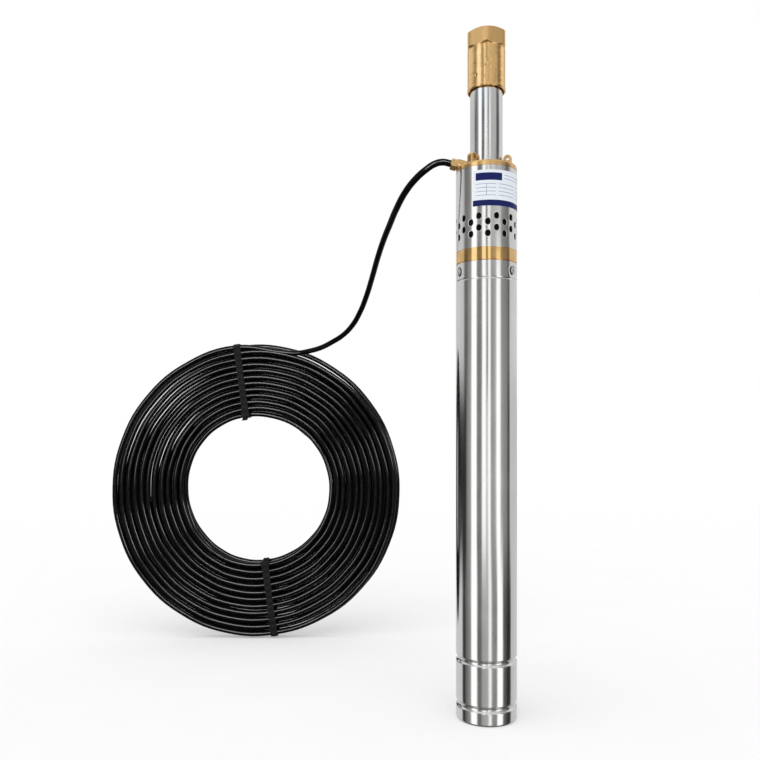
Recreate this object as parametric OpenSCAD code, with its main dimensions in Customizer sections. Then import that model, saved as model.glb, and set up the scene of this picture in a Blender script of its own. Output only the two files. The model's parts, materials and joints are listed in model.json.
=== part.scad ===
// Screw-type borehole submersible pump, standing upright on its motor barrel.
// Origin: centre of the base. +Z runs up the pump axis, -Y is the front, the cable leaves towards -X.
// Angles round the pump are counted from the front and grow towards +X.

/* [Motor barrel] */
// Outside diameter shared by barrel, brass band, strainer and cover rim
body_od = 75; // [74:0.5:80]
// Length of the barrel from the base to the brass band
barrel_len = 559; // [540:1:620]
// Wall of the barrel tube
barrel_wall = 1.5; // [1.2:0.1:2]
// Radius of the turned-in bottom edge
bottom_round = 3; // [2.5:0.1:4]
// Width of the turned-in lip that carries the bottom cover
lip_width = 3.5; // [3:0.1:5]
// Height of the lower rolled groove
lower_groove_z = 20; // [18:0.5:22]
// Height of the upper rolled groove
upper_groove_z = 75; // [72:0.5:80]
// Depth of the rolled grooves
groove_depth = 2; // [1.5:0.1:2.4]
// Radius of the rolled groove's floor
groove_round = 4; // [3.5:0.1:4.5]
// Radius of the rolled groove's shoulders
groove_shoulder = 2; // [1.8:0.1:2.5]
// Distance of the fine rolled line below the barrel's top edge
line_drop = 21.5; // [20:0.5:24]
// Depth of the fine rolled line
line_depth = 0.4; // [0.3:0.1:0.8]
// Distance of the barrel screws below the barrel's top edge
screw_drop = 11.5; // [10:0.5:13]
// Angle of the first barrel screw
screw_angle = 50; // [40:1:60]
// Shank diameter of the barrel screws
screw_d = 5; // [4:0.5:5]
// Head diameter of the barrel screws
screw_head_d = 8.5; // [8:0.1:9]
// Head height of the barrel screws
screw_head_h = 1.8; // [1.6:0.1:2]
// Depth of the pressed dimple round each barrel screw
dimple_depth = 1.9; // [1.6:0.1:2.2]
// Mouth diameter of the dimple
dimple_d = 12; // [11:0.1:13]

/* [Motor] */
// Height of the bottom cover
bottom_cover_h = 26; // [25:0.5:28]
// Across-flats size of the oil plug
plug_af = 13; // [12:0.5:14]
// Shank diameter of the oil plug
plug_d = 8; // [6:0.5:10]
// Diameter of the run capacitor
capacitor_d = 40; // [34:1:44]
// Height of the run capacitor
capacitor_h = 30; // [24:1:32]
// Height of the lower bearing bracket below its skirt
lower_bracket_h = 36; // [34:0.5:40]
// Height of the upper bearing bracket above its skirt
upper_bracket_h = 30; // [28:0.5:34]
// Wall of the brackets' skirts
skirt_wall = 3; // [2.5:0.1:3.5]
// Length of each bracket's skirt, over the end turns
skirt_len = 60; // [56:1:66]
// Bore of the stator core
stator_bore = 37.7; // [37.6:0.1:38]
// Number of winding slots
slot_count = 16; // [12:2:20]
// Radial depth of a winding slot
slot_depth = 8.5; // [7:0.1:9]
// Width of a winding slot
slot_w = 5.4; // [4.5:0.1:5.6]
// Height of the end turns beyond the core
end_turn_h = 38; // [30:1:46]
// Diameter of the rotor core
rotor_core_d = 37; // [36:0.1:37]
// Height of the rotor's end rings
end_ring_h = 12; // [8:0.5:14]
// Shaft diameter in the rotor core
shaft_core_d = 18; // [17.5:0.1:19]
// Shaft diameter in the upper bearing and seal
shaft_seal_d = 15; // [14.5:0.1:15.5]
// Shaft diameter in the lower bearing and the coupling
shaft_end_d = 12; // [11.5:0.1:12.5]
// Outside diameter of the lower bearing
lower_bearing_od = 32; // [31.5:0.1:33]
// Width of the lower bearing
lower_bearing_w = 10; // [9.5:0.1:11]
// Outside diameter of the upper bearing
upper_bearing_od = 35; // [34.5:0.1:36]
// Width of the upper bearing
upper_bearing_w = 11; // [10.5:0.1:12]
// Diameter of the bearing balls
ball_d = 5.9; // [5.5:0.1:6]
// Balls in each bearing
ball_count = 8; // [6:1:8]

/* [Inlet] */
// Height of the brass band under the strainer
band_h = 15; // [13:0.5:18]
// Length of the seat's spigot inside the barrel
spigot_len = 40; // [38:0.5:44]
// Height of the strainer
strainer_h = 98; // [96:1:120]
// Wall of the strainer sheet
strainer_wall = 0.9; // [0.6:0.1:1.2]
// Columns of strainer holes, an even number
hole_columns = 22; // [18:2:24]
// Width of a strainer hole
hole_w = 6.2; // [5:0.1:7]
// Height of a strainer hole
hole_h = 7.6; // [7.2:0.1:8.4]
// Height of the lowest row of holes above the band
hole_row_z = 16; // [12:0.5:18]
// Step between the staggered rows of holes
hole_row_step = 7; // [6.8:0.1:8]
// Angle of a column of holes near the front
hole_angle = 27.7; // [16:0.1:32]
// Diameter of the three pillars that carry the cover
pillar_d = 11; // [10:0.5:12]
// Height of the cover's rim
rim_h = 6; // [5:0.5:8]
// Radius of the rim's rounded top edge
rim_round = 2.5; // [1.5:0.1:3]
// Width of a rope eye
eye_w = 10; // [9.5:0.1:11]
// Thickness of a rope eye
eye_t = 6; // [5:0.1:7]
// Hole in a rope eye
eye_hole_d = 5; // [4.5:0.1:5.2]
// Height of the eye's hole above the cover
eye_hole_z = 9.5; // [8.5:0.1:11]
// Shank diameter of the eye screws
eye_shank_d = 6; // [5:0.1:6.4]
// Angle of the first rope eye
eye_angle = 72; // [68:1:76]

/* [Cable gland] */
// Diameter of the cable
cable_d = 8.5; // [8:0.1:9]
// Across-flats size of the gland nut
gland_af = 13; // [12.5:0.1:14]
// Length of the gland nut's hexagon
gland_nut_h = 7.5; // [6:0.1:9]
// Upward tilt of the gland
gland_tilt = 15; // [10:1:18]
// Outside diameter of the gland boss
gland_boss_d = 16; // [15.5:0.1:17]
// Diameter of the lead inside the pump
lead_d = 5; // [4:0.1:5.4]

/* [Pump] */
// Outside diameter of the pump tube
tube_od = 40; // [39:0.1:41]
// Wall of the pump tube
tube_wall = 1.75; // [1.2:0.05:2]
// Length of the pump tube between cover and outlet shoulder
tube_len = 142; // [138:1:170]
// Diameter of the screw rotor's round section
screw_section_d = 15; // [14:0.1:15.5]
// Eccentricity of the screw rotor
screw_e = 3; // [2.6:0.1:3.1]
// Pitch of the screw rotor
screw_pitch = 32; // [28:0.5:40]
// Running gap between screw rotor and rubber stator
screw_gap = 0.35; // [0.3:0.05:0.5]
// Diameter of the ball ends of the drive rod
rod_ball_d = 12; // [11:0.1:12.5]
// Diameter of the drive rod
rod_d = 7.5; // [6.5:0.1:8]
// Distance between the ball centres of the drive rod
rod_len = 46; // [40:0.5:50]
// Outside diameter of the shaft coupling and the rotor head
coupling_d = 21; // [20:0.5:22]

/* [Outlet] */
// Outside diameter of the outlet body
outlet_od = 46.4; // [45:0.1:46.6]
// Height of the outlet's round body
outlet_body_h = 52; // [48:0.5:56]
// Height of the outlet's hexagon
outlet_hex_h = 20.4; // [18:0.1:24]
// Across-flats size of the hexagon
outlet_af = 46; // [45:0.5:47]
// Diameter over the hexagon's rounded corners
outlet_corner_d = 51; // [50:0.5:52]
// Outside diameter of the outlet's lower lip
outlet_lip_od = 47.2; // [46.8:0.1:50]
// Diameter of the pipe thread's bore
thread_bore_d = 30.3; // [29.5:0.1:31]
// Length of the pipe thread's bore
thread_len = 24; // [20:0.5:26]
// Diameter of the throat below the thread
throat_d = 28; // [27.6:0.1:29]
// Depth of the socket that takes the pump tube
socket_depth = 35.4; // [30:0.1:36]

/* [Hidden] */
$fn = 64;

// Fits and overshoots
over = 1;
fit_gap = 0.1;
press_gap = 0.02;
seat_gap = 0.15;
seal_gap = 0.05;
run_gap = 0.3;
edge = 1;

// Radii of the body
body_r = body_od / 2;
barrel_ir = body_r - barrel_wall;
insert_r = barrel_ir - fit_gap;
lip_r = body_r - bottom_round - lip_width;
groove_centre_r = body_r + groove_round - groove_depth;
groove_reach = groove_round + groove_shoulder;
groove_half = sqrt(pow(groove_reach, 2) - pow(groove_centre_r - body_r + groove_shoulder, 2));
groove_tangent_r = groove_centre_r
    - groove_round * (groove_centre_r - body_r + groove_shoulder) / groove_reach;
line_round = 2;
screw_z = barrel_len - screw_drop;
screw_angles = [for (k = [0:2]) screw_angle + 120 * k];
dimple_floor_r = body_r - dimple_depth;
dimple_floor_play = 0.6;
dimple_floor_d = screw_head_d + dimple_floor_play;
screw_reach = 8;
screw_tip_r = barrel_ir - screw_reach;
screw_slot_w = 1;

// Heights of the motor's pieces
bottom_cover_top = barrel_wall + bottom_cover_h;
recess_h = 7.5;
recess_wall = 4;
recess_r = lip_r - recess_wall;
capacitor_seat = 3;
bracket_below_groove = 13;
lower_bracket_z = upper_groove_z - bracket_below_groove;
lower_pocket_rise = 22;
lower_pocket_z = lower_bracket_z + lower_pocket_rise;
bearing_ledge = 4;
skirt_z = lower_bracket_z + lower_bracket_h;
core_z = skirt_z + skirt_len;
spigot_z = barrel_len - spigot_len;
upper_bracket_z = spigot_z - upper_bracket_h;
core_top = upper_bracket_z - skirt_len;
core_len = core_top - core_z;
upper_pocket_depth = 14;
upper_pocket_shoulder = upper_bracket_z + upper_pocket_depth;
upper_bearing_z = upper_pocket_shoulder - upper_bearing_w;
oil_hole_d = 9;
oil_hole_r = (insert_r + upper_bearing_od / 2) / 2;
shaft_pass = 1.5;
oring_d = 2.06;
oring_groove_w = 3;
oring_groove_depth = 2;
bottom_oring_z = 9;
oring_centre_r = insert_r - oring_groove_depth + (oring_groove_depth + fit_gap) / 2;
cage_rim = 1;

// Stator and rotor of the motor
slot_mouth = 2;
slot_tooth = 1.6;
slot_r = stator_bore / 2 + slot_tooth;
winding_gap = 0.25;
end_turn_round = 3;
end_ring_wall = 7;
stud_d = 4;
stud_h = 5;
stud_count = 6;
shaft_tail = 2;
shaft_low_z = lower_pocket_z - shaft_tail;
shaft_collar_z = lower_pocket_z + lower_bearing_w;

// Inlet seat, strainer and cover
band_top = barrel_len + band_h;
cover_z = band_top + strainer_h;
strainer_ir = body_r - strainer_wall;
step_r = strainer_ir - seat_gap;
step_h = 6;
floor_half = 6;
floor_z = barrel_len - floor_half;
floor_top = barrel_len + floor_half;
hub_rise = 5;
hub_top = floor_top + hub_rise;
hub_r = 16;
chamber_wall = 4.5;
chamber_r = body_r - chamber_wall;
spigot_wall = 6;
oil_chamber_r = insert_r - spigot_wall;
thread_wall = 10;
thick_wall_r = insert_r - thread_wall;
thread_wall_drop = 9;
thick_wall_z = screw_z - thread_wall_drop;
seat_oring_rise = 8;
seat_oring_z = spigot_z + seat_oring_rise;
eye_clear = 1.5;
eye_r = tube_od / 2 + eye_clear + eye_w / 2;
eye_angles = [for (k = [0:2]) eye_angle + 120 * k];
rim_top = cover_z + rim_h;
plate_drop = 3;
plate_z = cover_z - plate_drop;
cover_spigot_len = 10;
cover_spigot_z = cover_z - cover_spigot_len;
cover_spigot_wall = 3;
hub_wall = 3;
tube_step = 4;
tube_z = cover_spigot_z + tube_step;
tube_ir = tube_od / 2 - tube_wall;
tube_ledge = 1.25;
cover_throat_r = tube_ir - tube_ledge;
collar_h = 1.5;
pillar_hole_depth = 22;
eye_shank_len = 26;
eye_collar_h = 2;

// Shaft seal
seal_seat_r = 13.3;
seal_seat_h = 7;
seal_seat_z = floor_z - 1;
seal_ring_r = 12;
seal_ring_h = 6;
seal_ring_z = seal_seat_z - seal_gap - seal_ring_h;
bellows_h = 18;
bellows_z = seal_ring_z - bellows_h;
bellows_sleeve = 1.6;
bellows_fold_r = 1.8;
bellows_folds = 4;

// Coupling, drive rod and screw rotor
slinger_z = hub_top + 1;
slinger_h = 5.5;
slinger_overhang = 2.5;
slinger_r = hub_r + slinger_overhang;
slinger_skirt = 1.5;
coupling_z = slinger_z + slinger_h;
shaft_grip = 13;
shaft_top = coupling_z + shaft_grip;
coupling_web = 4;
socket_r = rod_ball_d / 2 + run_gap;
socket_play = 2;
socket_reach = rod_ball_d / 2 + socket_play;
mouth_reach = 10;
ball_low_z = shaft_top + coupling_web + socket_reach;
coupling_top = ball_low_z + mouth_reach;
ball_high_z = ball_low_z + rod_len;
rotor_head_z = ball_high_z - mouth_reach;
rotor_head_top = ball_high_z + socket_reach + coupling_web;
rod_tilt = atan(screw_e / rod_len);
rod_span = sqrt(pow(rod_len, 2) + pow(screw_e, 2));
pin_d = 4;
pin_z = (coupling_z + shaft_top) / 2;
screw_z0 = rotor_head_top;
tube_top = tube_z + tube_len;
stator_inset = 1;
stator_z = tube_z + stator_inset;
stator_drop = 7;
stator_top = tube_top - stator_drop;
screw_rise = 3;
screw_top = stator_top + screw_rise;
screw_len = screw_top - screw_z0;
stator_len = stator_top - stator_z;
screw_sides = 20;
slices_per_turn = 20;
stator_slices_per_turn = 36;
stator_arc_sides = 12;

// Outlet
outlet_z = tube_top - socket_depth;
hex_z = outlet_z + outlet_body_h;
outlet_top = hex_z + outlet_hex_h;
outlet_lip_h = 3.5;
outlet_chamfer = 4.2;
thread_chamfer = 1.5;

// Gland: its axis lies in the XZ plane and rises towards -X
gland_reach = 6.5;
gland_rise = 7;
gland_exit = [-body_r - gland_reach, 0, rim_top + gland_rise];
gland_face = gland_nut_h;
gland_bush_len = 3.4;
gland_thread_len = 2.6;
gland_thread_d = 11.4;
gland_inward = [cos(gland_tilt), 0, -sin(gland_tilt)];
cable_start = gland_exit + (gland_nut_h + gland_thread_len) * gland_inward;
lead_bend_r = 5.5;
lead_drop_x = -27;
lead_hole_d = lead_d + 1;
lead_straight = (lead_drop_x - gland_exit[0] - lead_bend_r * (1 - sin(gland_tilt))) / cos(gland_tilt);
lead_bend_z = gland_exit[2] - lead_straight * sin(gland_tilt) - lead_bend_r * cos(gland_tilt);
lead_tail = 10;
lead_end_z = floor_z - lead_tail;
grommet_d = 9;
grommet_flange_d = 11;
grommet_flange_h = 2;

// Cable: hand-chosen points from the gland to the outermost turn of the coil
cable_route = [
    [-44, 0, 685], [-54, 0, 687], [-64, 1, 685], [-75, 5, 679], [-87, 15, 671], [-99, 31, 660],
    [-110, 57, 646], [-119, 88, 632], [-127, 118, 619], [-135, 153, 603], [-143, 193, 584],
    [-153, 235, 561], [-164, 268, 541], [-177, 294, 524], [-193, 314, 511], [-211, 330, 502],
    [-230, 342, 494], [-252, 353, 489], [-274, 359, 486], [-293, 361, 487]
];
cable_sides = 10;
steps_per_leg = 2;
coil_centre = [-343.5, 370, 248.5];
coil_outer_r = 248;
coil_inner_r = 122;
coil_layer_step = 9;
coil_half_t = coil_layer_step + cable_d / 2;
tie_angles = [97.4, 277.4];
tie_w = 12;
tie_t = 1;
tie_gap = 0.2;

// Turns a child from +X to the stated angle round the pump
module at_angle(angle) {
    rotate([0, 0, angle - 90]) children();
}

// A ring or disc of the stated radii and heights
module ring(outer, inner, low, high) {
    translate([0, 0, low]) difference() {
        cylinder(r = outer, h = high - low);
        translate([0, 0, -over]) cylinder(r = inner, h = high - low + 2 * over);
    }
}

// A hole or rod along the pump's radius
module radial(radius, from, to, height) {
    translate([from, 0, height]) rotate([0, 90, 0]) cylinder(r = radius, h = to - from);
}

// A hexagonal prism with two corners on the X axis
module hex_prism(flats, h) {
    cylinder(r = flats / 2 / cos(30), h = h, $fn = 6);
}

// Outline of a rolled groove as it is cut into the outside of the tube
module groove_cut(z) {
    translate([groove_centre_r, z]) circle(r = groove_round);
    difference() {
        translate([groove_tangent_r, z - groove_half])
            square([body_r - groove_tangent_r + over, 2 * groove_half]);
        for (side = [-1, 1])
            translate([body_r - groove_shoulder, z + side * groove_half]) circle(r = groove_shoulder);
    }
}

// The bulge that a rolled groove makes inside the tube, grown by a gap
module groove_bulge(z, gap) {
    translate([groove_centre_r, z]) circle(r = groove_round + barrel_wall + gap);
}

module barrel_outline() {
    corner_r = body_r - bottom_round;
    difference() {
        union() {
            translate([0, bottom_round]) square([body_r, barrel_len - bottom_round]);
            square([corner_r, bottom_round]);
            translate([corner_r, bottom_round]) circle(r = bottom_round);
        }
        difference() {
            union() {
                translate([0, bottom_round]) square([barrel_ir, barrel_len]);
                translate([0, barrel_wall]) square([corner_r, bottom_round]);
                translate([corner_r, bottom_round]) circle(r = bottom_round - barrel_wall);
            }
            groove_bulge(lower_groove_z, 0);
            groove_bulge(upper_groove_z, 0);
        }
        translate([0, -over]) square([lip_r, barrel_wall + 2 * over]);
        groove_cut(lower_groove_z);
        groove_cut(upper_groove_z);
        translate([body_r + line_round - line_depth, barrel_len - line_drop]) circle(r = line_round);
    }
}

module motor_barrel() {
    color("silver") difference() {
        union() {
            rotate_extrude() barrel_outline();
            for (angle = screw_angles) at_angle(angle)
                radial(dimple_d / 2, dimple_floor_r - barrel_wall, barrel_ir + barrel_wall / 2, screw_z);
        }
        for (angle = screw_angles) at_angle(angle) {
            translate([dimple_floor_r, 0, screw_z]) rotate([0, 90, 0])
                cylinder(d1 = dimple_floor_d, d2 = dimple_d, h = dimple_depth + fit_gap);
            radial(screw_d / 2 + fit_gap, screw_tip_r, body_r + over, screw_z);
        }
    }
}

module barrel_screws() {
    color("gainsboro") for (angle = screw_angles) at_angle(angle) difference() {
        union() {
            radial(screw_head_d / 2, dimple_floor_r, dimple_floor_r + screw_head_h - edge, screw_z);
            translate([dimple_floor_r + screw_head_h - edge, 0, screw_z]) rotate([0, 90, 0])
                cylinder(d1 = screw_head_d, d2 = screw_head_d - 3 * edge, h = edge);
            radial(screw_d / 2, screw_tip_r + edge, dimple_floor_r, screw_z);
        }
        for (turn = [0, 90])
            translate([dimple_floor_r + screw_head_h, 0, screw_z]) rotate([turn, 0, 0])
                cube([2 * edge, screw_slot_w, screw_d], center = true);
    }
}

module oring_groove(z) {
    ring(insert_r + over, insert_r - oring_groove_depth, z - oring_groove_w / 2, z + oring_groove_w / 2);
}

module oring(z) {
    rotate_extrude() translate([oring_centre_r, z]) circle(d = oring_d);
}

module bottom_cover() {
    chamfer = bottom_round - barrel_wall + edge / 2;
    color("dimgray") difference() {
        rotate_extrude() difference() {
            polygon([
                [0, barrel_wall], [insert_r - chamfer, barrel_wall], [insert_r, barrel_wall + chamfer],
                [insert_r, bottom_cover_top], [0, bottom_cover_top]
            ]);
            groove_bulge(lower_groove_z, fit_gap);
            square([recess_r, barrel_wall + recess_h]);
        }
        oring_groove(bottom_oring_z);
        cylinder(d = plug_d + 2 * fit_gap, h = bottom_cover_top - capacitor_seat - edge);
        translate([0, 0, bottom_cover_top - capacitor_seat])
            cylinder(d = capacitor_d + 2 * seat_gap, h = capacitor_seat + over);
    }
}

module oil_plug() {
    head_h = 4;
    head_z = barrel_wall + recess_h - head_h;
    color("goldenrod") {
        intersection() {
            translate([0, 0, head_z]) hex_prism(plug_af, head_h);
            translate([0, 0, head_z]) cylinder(r1 = plug_af / 2, r2 = plug_af / 2 + head_h, h = head_h);
        }
        translate([0, 0, head_z + head_h])
            cylinder(d = plug_d, h = bottom_cover_top - capacitor_seat - 2 * edge - head_z - head_h);
    }
}

module bottom_oring() {
    color("black") oring(bottom_oring_z);
}

module capacitor() {
    foot_z = bottom_cover_top - capacitor_seat;
    terminal_d = 5;
    terminal_h = 4;
    color("whitesmoke") {
        rotate_extrude() difference() {
            translate([0, foot_z]) square([capacitor_d / 2, capacitor_h - terminal_h]);
            translate([capacitor_d / 2, foot_z + capacitor_h - terminal_h]) circle(r = edge);
        }
        for (side = [-1, 1])
            translate([side * capacitor_d / 4, 0, foot_z + capacitor_h - terminal_h])
                cylinder(d = terminal_d, h = terminal_h);
    }
}

module oil_holes(low, high) {
    for (k = [0:3]) rotate([0, 0, 90 * k + 45])
        translate([oil_hole_r, 0, low - over]) cylinder(d = oil_hole_d, h = high - low + 2 * over);
}

module lower_bracket() {
    color("darkgray") difference() {
        union() {
            rotate_extrude() difference() {
                translate([0, lower_bracket_z]) square([insert_r, lower_bracket_h]);
                groove_bulge(upper_groove_z, fit_gap);
            }
            ring(insert_r, insert_r - skirt_wall, skirt_z - over, core_z);
        }
        translate([0, 0, lower_pocket_z])
            cylinder(d = lower_bearing_od + 2 * press_gap, h = lower_bracket_h);
        translate([0, 0, lower_bracket_z - over])
            cylinder(d = lower_bearing_od - 2 * bearing_ledge, h = lower_bracket_h);
        oil_holes(lower_bracket_z, skirt_z);
    }
}

module upper_bracket() {
    color("darkgray") difference() {
        union() {
            ring(insert_r, shaft_seal_d / 2 + shaft_pass, upper_bracket_z, spigot_z);
            ring(insert_r, insert_r - skirt_wall, core_top, upper_bracket_z + over);
        }
        translate([0, 0, upper_bracket_z - over])
            cylinder(d = upper_bearing_od + 2 * press_gap, h = upper_pocket_depth + over);
        oil_holes(upper_bracket_z, spigot_z);
    }
}

// Outline of one winding slot, grown or shrunk by a gap on each side
module slot_outline(gap) {
    translate([slot_r - gap, -slot_w / 2 - gap]) square([slot_depth + 2 * gap, slot_w + 2 * gap]);
}

module stator_core() {
    color("slategray") translate([0, 0, core_z]) linear_extrude(core_len) difference() {
        circle(r = insert_r);
        circle(d = stator_bore);
        for (k = [0:slot_count - 1]) rotate(360 / slot_count * k) {
            slot_outline(0);
            translate([stator_bore / 2 - over, -slot_mouth / 2]) square([slot_tooth + 2 * over, slot_mouth]);
        }
    }
}

// One ring of end turns, from its low to its high end
module end_turns(low, high) {
    inner = slot_r - winding_gap;
    outer = slot_r + slot_depth + end_turn_round;
    rotate_extrude() {
        translate([inner + end_turn_round, low]) square([outer - inner - 2 * end_turn_round, high - low]);
        translate([inner, low + end_turn_round])
            square([outer - inner, high - low - 2 * end_turn_round]);
        for (r = [inner + end_turn_round, outer - end_turn_round])
            for (z = [low + end_turn_round, high - end_turn_round])
                translate([r, z]) circle(r = end_turn_round);
    }
}

module stator_winding() {
    color("chocolate") {
        end_turns(core_z - end_turn_h, core_z - fit_gap);
        end_turns(core_top + fit_gap, core_top + end_turn_h);
        for (k = [0:slot_count - 1]) rotate([0, 0, 360 / slot_count * k])
            translate([0, 0, core_z - over]) linear_extrude(core_len + 2 * over) slot_outline(-winding_gap);
    }
}

// A deep-groove ball bearing: half of the ring section is taken by each race
module race(outer, inner, pitch_r, low, width) {
    rotate_extrude() difference() {
        translate([inner, low]) square([outer - inner, width]);
        translate([pitch_r, low + width / 2]) circle(r = ball_d / 2 + fit_gap);
    }
}

module bearing_outer(od, bore, low, width) {
    pitch_r = (od + bore) / 4;
    color("lightsteelblue") race(od / 2, pitch_r + ball_d / 4, pitch_r, low, width);
}

module bearing_inner(od, bore, low, width) {
    pitch_r = (od + bore) / 4;
    color("lightsteelblue") race(pitch_r - ball_d / 4, bore / 2 + press_gap, pitch_r, low, width);
}

module bearing_balls(od, bore, low, width) {
    color("white") for (k = [0:ball_count - 1]) rotate([0, 0, 360 / ball_count * k])
        translate([(od + bore) / 4, 0, low + width / 2]) sphere(d = ball_d);
}

module bearing_cage(od, bore, low, width) {
    pitch_r = (od + bore) / 4;
    half_t = ball_d / 4 - run_gap;
    cage_h = ball_d + 2 * cage_rim;
    color("darkgoldenrod") difference() {
        ring(pitch_r + half_t, pitch_r - half_t, low + (width - cage_h) / 2, low + (width + cage_h) / 2);
        for (k = [0:ball_count - 1]) rotate([0, 0, 360 / ball_count * k])
            translate([pitch_r, 0, low + width / 2]) sphere(d = ball_d + 2 * fit_gap);
    }
}

module lower_bearing_outer() {
    bearing_outer(lower_bearing_od, shaft_end_d, lower_pocket_z, lower_bearing_w);
}

module lower_bearing_inner() {
    bearing_inner(lower_bearing_od, shaft_end_d, lower_pocket_z, lower_bearing_w);
}

module lower_bearing_balls() {
    bearing_balls(lower_bearing_od, shaft_end_d, lower_pocket_z, lower_bearing_w);
}

module lower_bearing_cage() {
    bearing_cage(lower_bearing_od, shaft_end_d, lower_pocket_z, lower_bearing_w);
}

module upper_bearing_outer() {
    bearing_outer(upper_bearing_od, shaft_seal_d, upper_bearing_z, upper_bearing_w);
}

module upper_bearing_inner() {
    bearing_inner(upper_bearing_od, shaft_seal_d, upper_bearing_z, upper_bearing_w);
}

module upper_bearing_balls() {
    bearing_balls(upper_bearing_od, shaft_seal_d, upper_bearing_z, upper_bearing_w);
}

module upper_bearing_cage() {
    bearing_cage(upper_bearing_od, shaft_seal_d, upper_bearing_z, upper_bearing_w);
}

module motor_shaft() {
    collar_d = shaft_core_d - 2;
    color("lightgray") difference() {
        rotate_extrude() polygon([
            [0, shaft_low_z], [shaft_end_d / 2 - edge / 2, shaft_low_z],
            [shaft_end_d / 2, shaft_low_z + edge / 2],
            [shaft_end_d / 2, shaft_collar_z], [collar_d / 2, shaft_collar_z],
            [collar_d / 2, core_z - end_ring_h], [shaft_core_d / 2, core_z - end_ring_h],
            [shaft_core_d / 2, core_top + end_ring_h], [collar_d / 2 + edge / 2, core_top + end_ring_h],
            [collar_d / 2 + edge / 2, upper_bearing_z], [shaft_seal_d / 2, upper_bearing_z],
            [shaft_seal_d / 2, slinger_z], [shaft_end_d / 2, slinger_z],
            [shaft_end_d / 2, shaft_top - edge / 2], [shaft_end_d / 2 - edge / 2, shaft_top], [0, shaft_top]
        ]);
        radial(pin_d / 2 + press_gap, -coupling_d, coupling_d, pin_z);
    }
}

module rotor_core() {
    color("slategray") ring(rotor_core_d / 2, shaft_core_d / 2 + press_gap, core_z, core_top);
}

module rotor_end_rings() {
    outer = rotor_core_d / 2 - edge / 2;
    inner = outer - end_ring_wall;
    color("lightgray") for (side = [-1, 1]) {
        face = side < 0 ? core_z : core_top;
        far = face + side * end_ring_h;
        ring(outer, inner, min(face, far), max(face, far));
        for (k = [0:stud_count - 1]) rotate([0, 0, 360 / stud_count * k])
            translate([(outer + inner) / 2, 0, side < 0 ? far - stud_h : far - over])
                cylinder(d = stud_d, h = stud_h + over);
    }
}

// Path of the lead: along the gland, round a bend and straight down to the motor
module lead_path(d, start, low) {
    translate(gland_exit) rotate([0, 90 + gland_tilt, 0]) translate([0, 0, start])
        cylinder(d = d, h = lead_straight - start);
    translate([lead_drop_x - lead_bend_r, 0, lead_bend_z]) rotate([90, 0, 0])
        rotate_extrude(angle = 90 - gland_tilt) translate([lead_bend_r, 0]) circle(d = d);
    translate([lead_drop_x, 0, low]) cylinder(d = d, h = lead_bend_z - low);
}

module seat_body() {
    rotate_extrude() difference() {
        union() {
            translate([0, spigot_z]) square([insert_r, spigot_len + over]);
            translate([0, barrel_len]) square([body_r - edge / 2, band_h]);
            translate([0, barrel_len + edge / 2]) square([body_r, band_h - edge]);
            translate([0, barrel_len]) square([step_r, band_h + step_h]);
        }
        translate([0, floor_top]) square([chamber_r, band_h + step_h]);
        translate([0, spigot_z - over]) square([oil_chamber_r, thick_wall_z - spigot_z + over]);
        translate([0, thick_wall_z - over]) square([thick_wall_r, floor_z - thick_wall_z + over]);
    }
    translate([0, 0, floor_z]) cylinder(r = hub_r, h = hub_top - floor_z);
    for (angle = eye_angles) at_angle(angle)
        translate([eye_r, 0, floor_top - over]) cylinder(d = pillar_d, h = plate_z - floor_top + over);
}

module inlet_seat() {
    color("goldenrod") difference() {
        seat_body();
        translate([0, 0, floor_z - over]) cylinder(d = shaft_seal_d + shaft_pass, h = hub_top);
        translate([0, 0, floor_z - over])
            cylinder(r = seal_seat_r + fit_gap, h = seal_seat_h - (floor_z - seal_seat_z) + over);
        oring_groove(seat_oring_z);
        for (angle = screw_angles) at_angle(angle) {
            radial(dimple_d / 2 + run_gap, dimple_floor_r - barrel_wall - seat_gap, body_r + over, screw_z);
            radial(screw_d / 2 + fit_gap, thick_wall_r - over, body_r, screw_z);
        }
        for (angle = eye_angles) at_angle(angle)
            translate([eye_r, 0, plate_z - pillar_hole_depth])
                cylinder(d = eye_shank_d + 2 * fit_gap, h = pillar_hole_depth + over);
        translate([lead_drop_x, 0, thick_wall_z])
            cylinder(d = grommet_d + 2 * fit_gap, h = floor_top + over - thick_wall_z);
    }
}

module seat_oring() {
    color("black") oring(seat_oring_z);
}

module seal_seat() {
    color("ivory") ring(seal_seat_r, shaft_seal_d / 2 + shaft_pass, seal_seat_z, seal_seat_z + seal_seat_h);
}

module seal_ring() {
    color("darkslategray")
        ring(seal_ring_r, shaft_seal_d / 2 + press_gap, seal_ring_z, seal_ring_z + seal_ring_h);
}

module seal_bellows() {
    inner = shaft_seal_d / 2 + press_gap;
    fold_step = (bellows_h - 2 * bellows_fold_r) / (bellows_folds - 1);
    color("black") rotate_extrude() difference() {
        union() {
            translate([inner, bellows_z]) square([bellows_sleeve, bellows_h]);
            for (k = [0:bellows_folds - 1])
                translate([inner + bellows_sleeve, bellows_z + bellows_fold_r + fold_step * k])
                    circle(r = bellows_fold_r);
        }
        translate([0, bellows_z - over]) square([inner, bellows_h + 2 * over]);
    }
}

module sand_slinger() {
    skirt_low = floor_top + 2;
    color("black") rotate_extrude() {
        translate([shaft_end_d / 2 + press_gap, slinger_z])
            square([slinger_r - shaft_end_d / 2 - press_gap, slinger_h / 2]);
        translate([shaft_end_d / 2 + press_gap, slinger_z]) square([slinger_skirt * 2, slinger_h]);
        translate([slinger_r - slinger_skirt, skirt_low])
            square([slinger_skirt, slinger_z + edge - skirt_low]);
    }
}

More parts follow.
